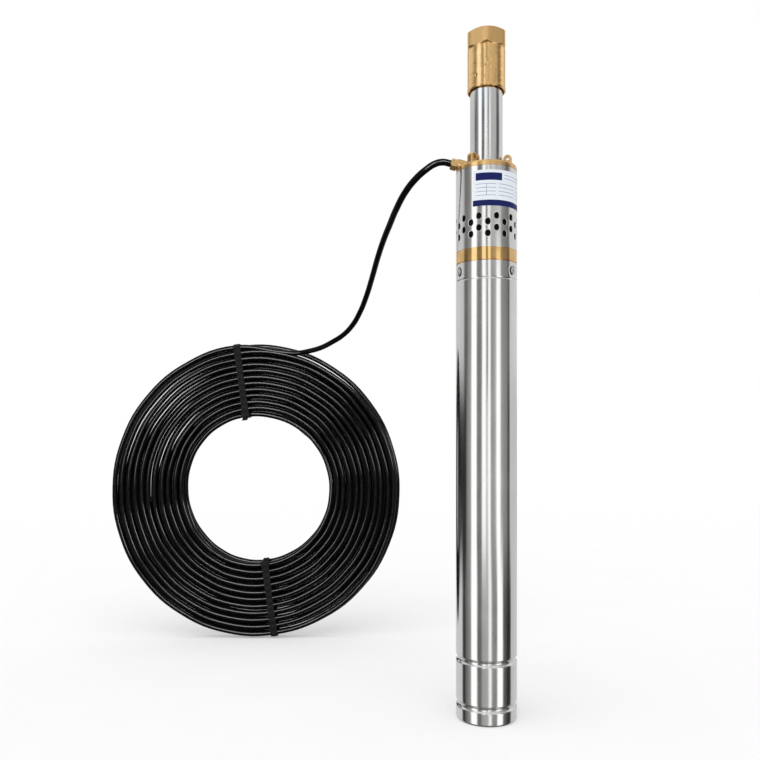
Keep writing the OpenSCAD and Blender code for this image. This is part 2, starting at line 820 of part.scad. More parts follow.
module shaft_coupling() {
    color("silver") difference() {
        rotate_extrude() difference() {
            translate([0, coupling_z]) square([coupling_d / 2, coupling_top - coupling_z]);
            translate([0, coupling_z - over]) square([shaft_end_d / 2 + press_gap, shaft_grip + over]);
            translate([0, shaft_top + coupling_web]) square([socket_r, coupling_top]);
            translate([coupling_d / 2, coupling_top]) rotate(45) square(2 * edge, center = true);
        }
        for (z = [pin_z, ball_low_z]) radial(pin_d / 2 + press_gap, -coupling_d, coupling_d, z);
    }
}

// Two drive pins in a socket's wall, ending just off the ball
module drive_pins(z) {
    ball_r = rod_ball_d / 2 + run_gap;
    for (side = [0, 180]) rotate([0, 0, side]) radial(pin_d / 2, ball_r, coupling_d / 2 - edge / 4, z);
}

module coupling_pins() {
    color("dimgray") {
        radial(pin_d / 2, -coupling_d / 2 + edge / 4, coupling_d / 2 - edge / 4, pin_z);
        drive_pins(ball_low_z);
    }
}

module drive_rod() {
    color("silver") {
        translate([0, 0, ball_low_z]) sphere(d = rod_ball_d);
        translate([screw_e, 0, ball_high_z]) sphere(d = rod_ball_d);
        translate([0, 0, ball_low_z]) rotate([0, rod_tilt, 0]) cylinder(d = rod_d, h = rod_span);
    }
}

module rotor_head() {
    color("silver") translate([screw_e, 0, 0]) difference() {
        translate([0, 0, rotor_head_z]) cylinder(d = coupling_d, h = rotor_head_top - rotor_head_z);
        translate([0, 0, rotor_head_z - over])
            cylinder(r = socket_r, h = ball_high_z + socket_reach - rotor_head_z + over);
        radial(pin_d / 2 + press_gap, -coupling_d, coupling_d, ball_high_z);
    }
}

module rotor_pins() {
    color("dimgray") translate([screw_e, 0, 0]) drive_pins(ball_high_z);
}

// Turn of the rotor's round section at a height, from the foot of the screw
function screw_turn(z) = 360 * (z - screw_z0) / screw_pitch;

module screw_rotor() {
    turn = screw_turn(screw_top);
    color("gainsboro") translate([screw_e, 0, screw_z0])
        linear_extrude(
            screw_len, twist = -turn, slices = ceil(slices_per_turn * turn / 360), $fn = screw_sides)
            translate([screw_e, 0]) circle(d = screw_section_d);
}

// Long round slot that the rotor's round section slides along, as a closed outline
function slot_points(r, reach) = concat(
    [for (k = [0:stator_arc_sides]) let (a = -90 + 180 * k / stator_arc_sides)
        [reach + r * cos(a), r * sin(a)]],
    [for (k = [0:stator_arc_sides]) let (a = 90 + 180 * k / stator_arc_sides)
        [-reach + r * cos(a), r * sin(a)]]
);

module pump_stator() {
    low = stator_z - over;
    span = stator_len + 2 * over;
    turn = 180 * span / screw_pitch;
    color("black") difference() {
        translate([0, 0, stator_z]) cylinder(r = tube_ir - press_gap, h = stator_len);
        translate([0, 0, low]) rotate(screw_turn(low) / 2)
            linear_extrude(span, twist = -turn, slices = ceil(stator_slices_per_turn * turn / 360))
                polygon(slot_points(screw_section_d / 2 + screw_gap, 2 * screw_e));
    }
}

module pump_tube() {
    color("silver") ring(tube_od / 2, tube_ir, tube_z, tube_top);
}

module outlet() {
    body = outlet_od / 2;
    lip = outlet_lip_od / 2;
    corner = outlet_corner_d / 2;
    lip_round = lip - body;
    color("darkgoldenrod") difference() {
        union() {
            translate([0, 0, outlet_z]) cylinder(r = body, h = outlet_body_h);
            rotate_extrude() {
                translate([0, outlet_z]) square([lip, outlet_lip_h - lip_round]);
                translate([0, outlet_z]) square([body, outlet_lip_h]);
                translate([body, outlet_z + outlet_lip_h - lip_round]) circle(r = lip_round);
            }
            intersection() {
                translate([0, 0, hex_z - over]) rotate([0, 0, 90]) hex_prism(outlet_af, outlet_hex_h + over);
                rotate_extrude() polygon([
                    [0, hex_z - over], [corner, hex_z - over], [corner, outlet_top - outlet_chamfer / 2],
                    [corner - outlet_chamfer, outlet_top], [0, outlet_top]
                ]);
            }
        }
        translate([0, 0, outlet_z - over]) cylinder(d = tube_od + 2 * press_gap, h = socket_depth + over);
        translate([0, 0, outlet_z]) cylinder(d = throat_d, h = outlet_top - outlet_z);
        translate([0, 0, outlet_top - thread_len]) cylinder(d = thread_bore_d, h = thread_len + over);
        translate([0, 0, outlet_top - thread_chamfer])
            cylinder(d1 = thread_bore_d, d2 = thread_bore_d + 2 * thread_chamfer, h = thread_chamfer);
    }
}

module strainer() {
    column_step = 360 / hole_columns;
    straight = hole_h - hole_w;
    color("silver") difference() {
        ring(body_r, strainer_ir, band_top, cover_z);
        for (k = [0:hole_columns - 1], row = [0, 2]) at_angle(hole_angle + column_step * k) {
            z = band_top + hole_row_z + hole_row_step * (row + k % 2);
            for (end = [-1, 1])
                radial(hole_w / 2, strainer_ir - over, body_r + over, z + end * straight / 2);
            translate([body_r, 0, z]) cube([4 * over + strainer_wall, hole_w, straight], center = true);
        }
    }
}

module cover_body() {
    rotate_extrude() difference() {
        union() {
            translate([0, plate_z]) square([step_r, rim_top - plate_z]);
            translate([0, cover_z]) square([body_r, rim_h - rim_round]);
            translate([0, cover_z]) square([body_r - rim_round, rim_h]);
            translate([body_r - rim_round, rim_top - rim_round]) circle(r = rim_round);
            translate([0, cover_spigot_z]) square([tube_od / 2 + hub_wall, rim_top - cover_spigot_z]);
            translate([0, rim_top - edge]) square([eye_r - eye_w / 2 - run_gap, collar_h + edge]);
            translate([step_r - cover_spigot_wall, cover_spigot_z])
                square([cover_spigot_wall, plate_z - cover_spigot_z + over]);
        }
        translate([0, tube_z]) square([tube_od / 2 + press_gap, rim_top]);
        translate([0, cover_spigot_z - over]) square([cover_throat_r, tube_z]);
    }
    intersection() {
        translate(gland_exit) rotate([0, 90 + gland_tilt, 0]) translate([0, 0, gland_face])
            cylinder(d = gland_boss_d, h = lead_straight);
        ring(body_r, tube_od / 2 + hub_wall - edge, plate_z, rim_top + gland_boss_d);
    }
}

module top_cover() {
    color("goldenrod") difference() {
        cover_body();
        translate(gland_exit) rotate([0, 90 + gland_tilt, 0]) translate([0, 0, -over]) {
            cylinder(d = gland_boss_d + edge, h = gland_face + over);
            cylinder(
                d = gland_thread_d + 2 * press_gap,
                h = gland_face + gland_thread_len + gland_bush_len + over);
        }
        lead_path(lead_hole_d, 0, cover_spigot_z - over);
        for (angle = eye_angles) at_angle(angle) {
            translate([eye_r, 0, cover_spigot_z - over])
                cylinder(d = eye_shank_d + 2 * fit_gap, h = rim_top);
            translate([eye_r, 0, cover_spigot_z - over])
                cylinder(d = pillar_d + 2 * run_gap, h = plate_z - cover_spigot_z + over);
        }
    }
}

module eye_screws() {
    color("goldenrod") for (angle = eye_angles) at_angle(angle) translate([eye_r, 0, 0]) {
        translate([0, 0, rim_top - eye_shank_len]) cylinder(d = eye_shank_d, h = eye_shank_len + over);
        translate([0, 0, rim_top]) cylinder(d = eye_w, h = eye_collar_h);
        translate([0, eye_t / 2, rim_top]) rotate([90, 0, 0]) linear_extrude(eye_t) difference() {
            union() {
                translate([0, eye_hole_z]) circle(d = eye_w);
                translate([-eye_w / 2, eye_collar_h - edge]) square([eye_w, eye_hole_z - eye_collar_h + edge]);
            }
            translate([0, eye_hole_z]) circle(d = eye_hole_d);
        }
    }
}

module gland_nut() {
    color("goldenrod") translate(gland_exit) rotate([0, 90 + gland_tilt, 0]) difference() {
        union() {
            intersection() {
                hex_prism(gland_af, gland_nut_h);
                cylinder(d1 = gland_af, d2 = gland_af + 2 * gland_nut_h, h = gland_nut_h);
            }
            translate([0, 0, gland_nut_h]) cylinder(d = gland_thread_d, h = gland_thread_len);
        }
        translate([0, 0, -over])
            cylinder(d = cable_d + 2 * fit_gap, h = gland_nut_h + gland_thread_len + 2 * over);
    }
}

module gland_seal() {
    color("black") translate(gland_exit) rotate([0, 90 + gland_tilt, 0])
        ring(gland_thread_d / 2, cable_d / 2 + press_gap, gland_nut_h + gland_thread_len,
            gland_nut_h + gland_thread_len + gland_bush_len);
}

module motor_lead() {
    color("black") {
        translate(cable_start) rotate([0, 90 + gland_tilt, 0]) cylinder(d = cable_d, h = gland_bush_len);
        lead_path(lead_d, gland_nut_h + gland_thread_len + edge, lead_end_z);
    }
}

module lead_grommet() {
    color("black") translate([lead_drop_x, 0, 0]) {
        ring(grommet_d / 2, lead_d / 2 + press_gap, floor_z, floor_top);
        ring(grommet_flange_d / 2, lead_d / 2 + press_gap, floor_top, floor_top + grommet_flange_h);
    }
}

// Smooth curve through the route's points
function route_at(k) = cable_route[max(0, min(len(cable_route) - 1, k))];
function blend(a, b, c, d, t) =
    0.5 * (2 * b + t * (c - a) + t * t * (2 * a - 5 * b + 4 * c - d) + t * t * t * (3 * b - a - 3 * c + d));
function cable_line() = concat(
    [cable_start],
    [for (k = [0:len(cable_route) - 2], s = [0:steps_per_leg - 1])
        blend(route_at(k - 1), route_at(k), route_at(k + 1), route_at(k + 2), s / steps_per_leg)],
    [route_at(len(cable_route) - 1)]
);
function unit(v) = v / norm(v);
function heading(line, k) = k < 2
    ? -gland_inward
    : unit(line[min(k + 1, len(line) - 1)] - line[k - 1]);
function ring_at(centre, ahead) = let (
    side = unit(cross(ahead, [0, 1, 0.35])),
    rise = cross(side, ahead)
) [for (k = [0:cable_sides - 1])
    centre + cable_d / 2 * (cos(360 * k / cable_sides) * side + sin(360 * k / cable_sides) * rise)];

module cable_run() {
    line = cable_line();
    rings = len(line);
    points = [for (k = [0:rings - 1]) each ring_at(line[k], heading(line, k))];
    sides = [for (k = [0:rings - 2], s = [0:cable_sides - 1]) let (n = (s + 1) % cable_sides)
        [k * cable_sides + s, k * cable_sides + n, (k + 1) * cable_sides + n, (k + 1) * cable_sides + s]];
    near = [[for (s = [cable_sides - 1:-1:0]) s]];
    far = [[for (s = [0:cable_sides - 1]) (rings - 1) * cable_sides + s]];
    color("black") polyhedron(points, concat(near, sides, far));
}

// Rounded section of the coil in its own radius and depth
module coil_section(grow) {
    corner = cable_d / 2 + grow;
    translate([coil_inner_r - grow, -coil_half_t - grow + corner])
        square([coil_outer_r - coil_inner_r + 2 * grow, 2 * (coil_half_t + grow - corner)]);
    translate([coil_inner_r - grow + corner, -coil_half_t - grow])
        square([coil_outer_r - coil_inner_r + 2 * (grow - corner), 2 * (coil_half_t + grow)]);
    for (r = [coil_inner_r - grow + corner, coil_outer_r + grow - corner])
        for (y = [-coil_half_t - grow + corner, coil_half_t + grow - corner])
            translate([r, y]) circle(r = corner);
}

module cable_coil() {
    color("black") translate(coil_centre) rotate([90, 0, 0]) rotate_extrude($fn = 128) coil_section(0);
}

module coil_ties() {
    color("black") for (angle = tie_angles)
        translate(coil_centre) rotate([90, 0, 0]) rotate([0, 0, angle]) rotate([90, 0, 0])
            translate([0, 0, -tie_w / 2]) linear_extrude(tie_w) difference() {
                coil_section(tie_gap + tie_t);
                coil_section(tie_gap);
            }
}

motor_barrel();
bottom_cover();
oil_plug();
bottom_oring();
capacitor();
lower_bracket();
stator_core();
stator_winding();
upper_bracket();
lower_bearing_outer();
lower_bearing_inner();
lower_bearing_balls();
lower_bearing_cage();
upper_bearing_outer();
upper_bearing_inner();
upper_bearing_balls();
upper_bearing_cage();
motor_shaft();
rotor_core();
rotor_end_rings();
inlet_seat();
seat_oring();
barrel_screws();
seal_seat();
seal_ring();
seal_bellows();
sand_slinger();
shaft_coupling();
coupling_pins();
drive_rod();
rotor_head();
rotor_pins();
screw_rotor();
pump_stator();
pump_tube();
outlet();
strainer();
top_cover();
eye_screws();
gland_nut();
gland_seal();
motor_lead();
lead_grommet();
cable_run();
cable_coil();
coil_ties();
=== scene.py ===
"""Dresses a screw-type borehole pump: cable, straps, label, metal finishes and a plain studio."""

import json
from math import atan2, cos, exp, hypot, log, pi, radians, sin, sqrt, tan, tau

import bpy
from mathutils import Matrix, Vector, noise


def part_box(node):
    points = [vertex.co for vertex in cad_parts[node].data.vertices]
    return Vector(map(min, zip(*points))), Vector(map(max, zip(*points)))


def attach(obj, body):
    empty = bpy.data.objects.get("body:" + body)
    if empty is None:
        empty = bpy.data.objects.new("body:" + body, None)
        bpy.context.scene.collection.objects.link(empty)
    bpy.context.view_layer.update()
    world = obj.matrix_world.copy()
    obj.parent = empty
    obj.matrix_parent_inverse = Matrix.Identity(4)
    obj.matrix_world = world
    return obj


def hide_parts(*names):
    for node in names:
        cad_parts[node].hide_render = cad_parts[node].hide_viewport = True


bl_info = {
    "name": "Borehole pump dressing",
    "version": (1, 0, 0),
    "blender": (4, 5, 0),
    "location": "3D View > Sidebar > Pump",
    "description": "Finishes, cable, label and studio for a screw-type borehole pump",
    "category": "Object",
}

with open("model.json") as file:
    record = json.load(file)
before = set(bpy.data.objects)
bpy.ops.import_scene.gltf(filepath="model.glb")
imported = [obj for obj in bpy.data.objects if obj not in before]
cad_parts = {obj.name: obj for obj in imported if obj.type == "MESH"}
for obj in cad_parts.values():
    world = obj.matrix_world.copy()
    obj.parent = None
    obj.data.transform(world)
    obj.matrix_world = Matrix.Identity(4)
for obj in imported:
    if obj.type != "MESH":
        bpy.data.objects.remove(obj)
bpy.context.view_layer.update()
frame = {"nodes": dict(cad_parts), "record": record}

MM = 0.001
HOUSING = "housing"

# Every finish by its name, filled by the finishes operator
FINISHES = {}

# Places that come from the frame, in metres
barrel_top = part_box("motor_barrel")[1].z
strainer_low, strainer_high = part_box("strainer")
outlet_low, outlet_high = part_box("outlet")
tube_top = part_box("pump_tube")[1].z
coil_low, coil_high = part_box("cable_coil")
body_r = strainer_high.x
coil_centre = (coil_low + coil_high) / 2


# Properties

class PumpStudio(bpy.types.PropertyGroup):
    """Camera, lamps and floor"""

    camera_place: bpy.props.FloatVectorProperty(
        name="Camera place", description="Where the camera stands",
        default=(-0.1318, -0.957, 0.355), subtype="TRANSLATION", unit="LENGTH")
    lens: bpy.props.FloatProperty(
        name="Lens", description="Focal length on a 36 mm sensor, in millimetres", default=36.57)
    rise: bpy.props.FloatProperty(
        name="Rise", description="Upward shift of the lens", default=0.0658)
    ambient: bpy.props.FloatProperty(
        name="Ambient", description="Even light from all sides on matt surfaces", default=0.55)
    key_energy: bpy.props.FloatProperty(
        name="Key", description="Strength of the soft key lamp overhead", default=1.6)
    key_spread: bpy.props.FloatProperty(
        name="Key spread", description="Angular size of the key lamp",
        default=radians(80), subtype="ANGLE")
    floor_colour: bpy.props.FloatVectorProperty(
        name="Floor", description="Colour of the floor", default=(0.97, 0.97, 0.97), subtype="COLOR")


class PumpCable(bpy.types.PropertyGroup):
    """The power cable and its coil"""

    diameter: bpy.props.FloatProperty(
        name="Diameter", description="Outside diameter of the cable", default=0.0085, unit="LENGTH")
    turns: bpy.props.IntProperty(
        name="Turns", description="Turns in each layer of the coil", default=11)
    layer_step: bpy.props.FloatProperty(
        name="Layer step", description="Distance between two layers of the coil",
        default=0.009, unit="LENGTH")
    wander: bpy.props.FloatProperty(
        name="Wander", description="How far a turn strays from its even spiral",
        default=0.0022, unit="LENGTH")
    strap_width: bpy.props.FloatProperty(
        name="Strap width", description="Width of the straps round the coil",
        default=0.012, unit="LENGTH")
    sheath_colour: bpy.props.FloatVectorProperty(
        name="Sheath", description="Colour of the cable's sheath",
        default=(0.0022, 0.0022, 0.0024), subtype="COLOR")


class PumpLabel(bpy.types.PropertyGroup):
    """The bare label on the strainer"""

    left_angle: bpy.props.FloatProperty(
        name="Left edge", description="Angle of the left edge from the front",
        default=radians(-33), subtype="ANGLE")
    right_angle: bpy.props.FloatProperty(
        name="Right edge", description="Angle of the right edge from the front",
        default=radians(112), subtype="ANGLE")
    bottom: bpy.props.FloatProperty(
        name="Bottom", description="Height of the lower edge above the base", default=0.6225, unit="LENGTH")
    top: bpy.props.FloatProperty(
        name="Top", description="Height of the upper edge above the base", default=0.6655, unit="LENGTH")
    paper_colour: bpy.props.FloatVectorProperty(
        name="Paper", description="Colour of the label's ground", default=(0.84, 0.89, 0.95), subtype="COLOR")
    band_colour: bpy.props.FloatVectorProperty(
        name="Bands", description="Colour of the label's bands",
        default=(0.010, 0.017, 0.11), subtype="COLOR")
    rule_colour: bpy.props.FloatVectorProperty(
        name="Rules", description="Colour of the label's ruled lines",
        default=(0.13, 0.17, 0.30), subtype="COLOR")


class PumpMetal(bpy.types.PropertyGroup):
    """Colours of the metal pieces"""

    steel_colour: bpy.props.FloatVectorProperty(
        name="Steel", description="Colour of the polished stainless steel",
        default=(0.74, 0.735, 0.72), subtype="COLOR")
    brass_colour: bpy.props.FloatVectorProperty(
        name="Brass", description="Colour of the brass", default=(0.84, 0.54, 0.225), subtype="COLOR")
    screw_colour: bpy.props.FloatVectorProperty(
        name="Screws", description="Colour of the screws", default=(0.62, 0.61, 0.59), subtype="COLOR")


# Shader building

def put(tree, kind, inputs=None, **settings):
    """Adds one shader node; an input is a value or the output that feeds it."""
    made = tree.nodes.new(kind)
    for key, value in settings.items():
        setattr(made, key, value)
    for key, value in (inputs or {}).items():
        if isinstance(value, bpy.types.NodeSocket):
            tree.links.new(value, made.inputs[key])
        else:
            made.inputs[key].default_value = value
    return made


def ramp(tree, factor, stops):
    """A colour ramp from (place, colour) stops; returns its colour output."""
    made = put(tree, "ShaderNodeValToRGB", {"Fac": factor})
    steps = made.color_ramp.elements
    while len(steps) < len(stops):
        steps.new(0.5)
    for step, (place, colour) in zip(steps, stops):
        step.position = place
        step.color = (*colour, 1.0)
    return made.outputs["Color"]


def spread(tree, value, low, high, from_low=0.3, from_high=0.7):
    """Maps a texture's value to the range from low to high."""
    made = put(tree, "ShaderNodeMapRange", {
        "Value": value, "From Min": from_low, "From Max": from_high, "To Min": low, "To Max": high})
    return made.outputs["Result"]


def stretched_noise(tree, stretch, scale, detail=4.0, distortion=0.0):
    """Noise in the pump's own frame, stretched along an axis by a small factor on it."""
    place = put(tree, "ShaderNodeTexCoord").outputs["Object"]
    turned = put(tree, "ShaderNodeMapping", {"Vector": place, "Scale": stretch})
    made = put(tree, "ShaderNodeTexNoise", {
        "Vector": turned.outputs["Vector"], "Scale": scale, "Detail": detail, "Distortion": distortion})
    return made.outputs["Fac"]


def shade(colour, factor):
    """A colour made lighter or darker."""
    return tuple(min(1.0, c * factor) for c in colour[:3])


def bump(tree, height, strength, distance, under=None):
    """A bump on the surface, over an earlier one if there is one."""
    inputs = {"Height": height, "Strength": strength, "Distance": distance}
    if under is not None:
        inputs["Normal"] = under
    return put(tree, "ShaderNodeBump", inputs).outputs["Normal"]


def maths(tree, operation, first, second):
    """One sum with two values; returns its output."""
    return put(tree, "ShaderNodeMath", {0: first, 1: second}, operation=operation).outputs[0]


def mixed(tree, share, first, second):
    """A mix of two shaders; returns its output."""
    return put(tree, "ShaderNodeMixShader", {0: share, 1: first, 2: second}).outputs[0]


def white_light(tree, strength):
    """An even white background; returns its output."""
    return put(tree, "ShaderNodeBackground", {"Color": (1, 1, 1, 1), "Strength": strength}).outputs[0]


def surface(tree, shader, metallic, colour, roughness, normal):
    """Feeds a shader its colour, roughness and relief."""
    for key, value in (("Base Color", colour), ("Roughness", roughness), ("Normal", normal)):
        tree.links.new(value, shader.inputs[key])
    shader.inputs["Metallic"].default_value = metallic


def new_material(name):
    """An empty material with its shader and tree."""
    made = bpy.data.materials.new(name)
    made.use_nodes = True
    return made, made.node_tree, made.node_tree.nodes["Principled BSDF"]


def finish(name, colour, metallic, roughness, stretch=(1, 1, 1), scale=60.0, mottle=0.12,
           grain=0.08, relief=0.0001, **sockets):
    """One surface finish: mottled colour, uneven roughness and fine relief from one stretched grain."""
    made, tree, shader = new_material(name)
    broad = stretched_noise(tree, stretch, scale / 8, 3.0)
    fine = stretched_noise(tree, stretch, scale * 6, 5.0)
    surface(tree, shader, metallic,
            ramp(tree, broad, [(0.3, shade(colour, 1 - mottle)), (0.7, shade(colour, 1 + mottle))]),
            spread(tree, fine, max(0.02, roughness - grain), roughness + grain),
            bump(tree, fine, 0.25, relief))
    for key, value in sockets.items():
        shader.inputs[key.replace("_", " ")].default_value = value
    return made


def polished_steel(name, colour):
    """Rolled and polished stainless sheet: rings of polishing lines, a slow ripple and faint smudges."""
    made, tree, shader = new_material(name)
    rings = stretched_noise(tree, (0.6, 0.6, 60.0), 28.0, 6.0)
    ripple = stretched_noise(tree, (1.0, 1.0, 0.22), 22.0, 1.5)
    smudge = stretched_noise(tree, (1.0, 1.0, 0.45), 26.0, 5.0, 0.6)
    lines = bump(tree, rings, 0.10, 0.00006)
    surface(tree, shader, 1.0,
            ramp(tree, smudge, [(0.3, shade(colour, 0.93)), (0.72, shade(colour, 1.05))]),
            spread(tree, smudge, 0.10, 0.17), bump(tree, ripple, 0.10, 0.0016, lines))
    return made


def turned_brass(name, colour, roughness):
    """Machined brass: turning lines round the axis and a warm, slightly uneven tone."""
    made, tree, shader = new_material(name)
    lines = stretched_noise(tree, (0.5, 0.5, 45.0), 30.0, 5.0)
    tone = stretched_noise(tree, (1.0, 1.0, 1.0), 55.0, 5.0, 0.4)
    surface(tree, shader, 1.0,
            ramp(tree, tone, [(0.3, shade(colour, 0.84)), (0.55, colour[:3]), (0.75, shade(colour, 1.14))]),
            spread(tree, tone, *roughness), bump(tree, lines, 0.18, 0.00008))
    return made


HOLLOW_BRASS = (0.52, 0.29, 0.09)


def cast_brass(name, colour):
    """Cast brass, tumbled bright: soft lumps, fine pores and a few browner hollows."""
    made, tree, shader = new_material(name)
    lumps = stretched_noise(tree, (1.0, 1.0, 0.5), 150.0, 3.0)
    pores = stretched_noise(tree, (1.0, 1.0, 1.0), 900.0, 4.0)
    tone = stretched_noise(tree, (1.0, 1.0, 0.4), 75.0, 5.0, 0.6)
    soft = bump(tree, lumps, 0.08, 0.0006)
    surface(tree, shader, 1.0,
            ramp(tree, tone, [(0.22, HOLLOW_BRASS), (0.40, colour[:3]), (0.75, shade(colour, 1.12))]),
            spread(tree, pores, 0.14, 0.25), bump(tree, pores, 0.10, 0.00010, soft))
    return made


def cable_sheath(name, colour):
    """Smooth black sheath with faint scuffs and a long slow flow mark."""
    made, tree, shader = new_material(name)
    scuff = stretched_noise(tree, (1.0, 1.0, 1.0), 140.0, 6.0, 0.8)
    flow = stretched_noise(tree, (1.0, 1.0, 1.0), 30.0, 2.0)
    surface(tree, shader, 0.0,
            ramp(tree, scuff, [(0.45, colour[:3]), (0.78, shade(colour, 2.6))]),
            spread(tree, scuff, 0.07, 0.13), bump(tree, flow, 0.10, 0.0012))
    shader.inputs["Specular IOR Level"].default_value = 0.07
    return made


# Plain finishes by name: colour, metallic, roughness and what is special about the grain
PLAIN_FINISHES = {
    "shaft_steel": ((0.6, 0.6, 0.61), 1.0, 0.22, dict(stretch=(1, 1, 30), scale=30, mottle=0.06)),
    "hard_chrome": ((0.78, 0.79, 0.8), 1.0, 0.1, dict(scale=50, mottle=0.03, grain=0.04)),
    "cast_aluminium": ((0.6, 0.6, 0.61), 1.0, 0.45, dict(scale=160, mottle=0.08, relief=0.0003)),
    "grey_iron": ((0.075, 0.077, 0.08), 0.35, 0.58, dict(scale=180, mottle=0.2, relief=0.0005)),
    "lamination": (
        (0.26, 0.27, 0.29), 0.9, 0.42, dict(stretch=(0.4, 0.4, 80), scale=22, mottle=0.18, relief=0.0003)),
    "copper_winding": (
        (0.5, 0.2, 0.07), 0.8, 0.35, dict(stretch=(1, 1, 0.1), scale=260, mottle=0.3, relief=0.0006)),
    "bearing_steel": ((0.68, 0.69, 0.71), 1.0, 0.14, dict(scale=60, mottle=0.03, grain=0.05)),
    "cage_brass": ((0.68, 0.46, 0.17), 1.0, 0.32, dict(scale=90)),
    "black_rubber": ((0.016, 0.016, 0.016), 0.0, 0.62, dict(scale=200, mottle=0.3, relief=0.0003)),
    "seal_ceramic": ((0.82, 0.79, 0.71), 0.0, 0.28, dict(scale=120, mottle=0.05)),
    "seal_carbon": ((0.03, 0.03, 0.032), 0.2, 0.4, dict(scale=150, mottle=0.2)),
    "capacitor_case": ((0.78, 0.78, 0.75), 0.0, 0.5, dict(scale=120, mottle=0.04)),
    "tie_nylon": (
        (0.007, 0.007, 0.0075), 0.0, 0.42,
        dict(scale=220, mottle=0.25, relief=0.0003, Specular_IOR_Level=0.2)),
    # Painted shade: the near-black sleeve behind the strainer's holes, where there is only shade
    "painted_shade_sleeve": (
        (0.006, 0.006, 0.006), 0.0, 0.9, dict(scale=420, mottle=0.5, relief=0.0004, Specular_IOR_Level=0.05)),
    # Painted shade: near-black for the dimple floors round the screws and the screw heads' sides
    "painted_screw_shade": ((0.02, 0.019, 0.018), 0.3, 0.6, dict(scale=300, mottle=0.4, relief=0.0002)),
    "casting_pit": ((0.10, 0.05, 0.018), 0.3, 0.6, dict(scale=300, mottle=0.4, relief=0.0003)),
}


def all_finishes(metal, cable):
    """The finishes of the record's material slots, and those that only this script uses."""
    brass = metal.brass_colour
    made = {name: finish(name, *look, **grain) for name, (*look, grain) in PLAIN_FINISHES.items()}
    made["polished_stainless"] = polished_steel("polished_stainless", metal.steel_colour)
    made["machined_brass"] = turned_brass("machined_brass", brass, (0.16, 0.28))
    made["bright_brass"] = turned_brass("bright_brass", brass, (0.08, 0.13))
    made["cast_brass"] = cast_brass("cast_brass", brass)
    made["milled_brass"] = finish(
        "milled_brass", brass, 1.0, 0.40, scale=70, mottle=0.05, grain=0.05, relief=0.00004)
    made["fastener_steel"] = finish("fastener_steel", metal.screw_colour, 1.0, 0.26, scale=90, mottle=0.08)
    made["cable_sheath"] = cable_sheath("cable_sheath", cable.sheath_colour)
    return made


# Mesh building

def fillet_line(corners, steps=6):
    """Corner points (across, up, radius) as one line whose corners are arcs."""
    line = []
    for k, (across, up, radius) in enumerate(corners):
        corner = Vector((across, up))
        if radius == 0 or k in (0, len(corners) - 1):
            line.append(corner)
            continue
        back = (Vector(corners[k - 1][:2]) - corner).normalized()
        ahead = (Vector(corners[k + 1][:2]) - corner).normalized()
        half = back.angle(ahead) / 2
        centre = corner + (back + ahead).normalized() * (radius / sin(half))
        first = corner + back * (radius / tan(half)) - centre
        last = corner + ahead * (radius / tan(half)) - centre
        sweep = atan2(first.cross(last), first.dot(last))
        for s in range(steps + 1):
            a = sweep * s / steps
            line.append(centre + Vector((
                first.x * cos(a) - first.y * sin(a), first.x * sin(a) + first.y * cos(a))))
    return line


def around(angle, radius, height):
    """A point at an angle from the front, growing towards +X."""
    return Vector((radius * sin(angle), -radius * cos(angle), height))


def circle(middle, across, up, radius, count):
    """A ring of points in the plane of two directions."""
    ring = []
    for k in range(count):
        angle = tau * k / count
        ring.append(middle + across * (radius * cos(angle)) + up * (radius * sin(angle)))
    return ring


def bridge(first, second):
    """Faces between two loops of point numbers."""
    count = len(first)
    return [(first[k], first[(k + 1) % count], second[(k + 1) % count], second[k]) for k in range(count)]


def skin(rings, loop=True):
    """Points and faces of a skin over closed rings of points; loop joins the last ring to the first."""
    count = len(rings[0])
    points = [p for ring in rings for p in ring]
    pairs = list(zip(range(len(rings)), range(1, len(rings))))
    if loop:
        pairs.append((len(rings) - 1, 0))
    faces = [
        (a * count + k, a * count + (k + 1) % count, b * count + (k + 1) % count, b * count + k)
        for a, b in pairs for k in range(count)]
    if not loop:
        faces.append(tuple(range(count))[::-1])
        faces.append(tuple(range((len(rings) - 1) * count, len(rings) * count)))
    volume = 0.0
    for face in faces:
        for k in range(1, len(face) - 1):
            volume += points[face[0]].dot(points[face[k]].cross(points[face[k + 1]]))
    if volume < 0:
        faces = [face[::-1] for face in faces]
    return points, faces


def merge(skins):
    """Several skins as one list of points and one of faces."""
    points, faces = [], []
    for more_points, more_faces in skins:
        start = len(points)
        points += more_points
        faces += [tuple(k + start for k in face) for face in more_faces]
    return points, faces


def loft(name, rings, material, loop=True, sharp=radians(32)):
    """A piece with a skin over rings of points."""
    return mesh_piece(name, *skin(rings, loop), material, sharp)


def rounded_block(centre, half_a, half_b, half_c, radius, steps=4):
    """Skin of a block with rounded edges, from its half sizes along three directions."""
    a, b = half_a.length, half_b.length
    rings = []
    edge = radius / half_c.length
    for side, trim in ((-1, radius), (-1 + edge, 0), (1 - edge, 0), (1, radius)):
        ring = []
        for corner in range(4):
            for s in range(steps + 1):
                turn = radians(90 * corner + 90 * s / steps)
                x = (1, -1, -1, 1)[corner] * (a - radius) + (radius - trim * 0.7) * cos(turn)
                y = (1, 1, -1, -1)[corner] * (b - radius) + (radius - trim * 0.7) * sin(turn)
                ring.append(centre + half_a * (x / a) + half_b * (y / b) + half_c * side)
        rings.append(ring)
    return skin(rings, False)


def mesh_piece(name, points, faces, material, sharp=radians(32)):
    """A mesh object on the housing, smooth but for its sharp edges."""
    mesh = bpy.data.meshes.new(name)
    mesh.from_pydata([tuple(p) for p in points], [], faces)
    mesh.validate()
    mesh.polygons.foreach_set("use_smooth", [True] * len(mesh.polygons))
    mesh.set_sharp_from_angle(angle=sharp)
    mesh.materials.append(material)
    made = bpy.data.objects.new(name, mesh)
    bpy.context.scene.collection.objects.link(made)
    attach(made, HOUSING)
    return made


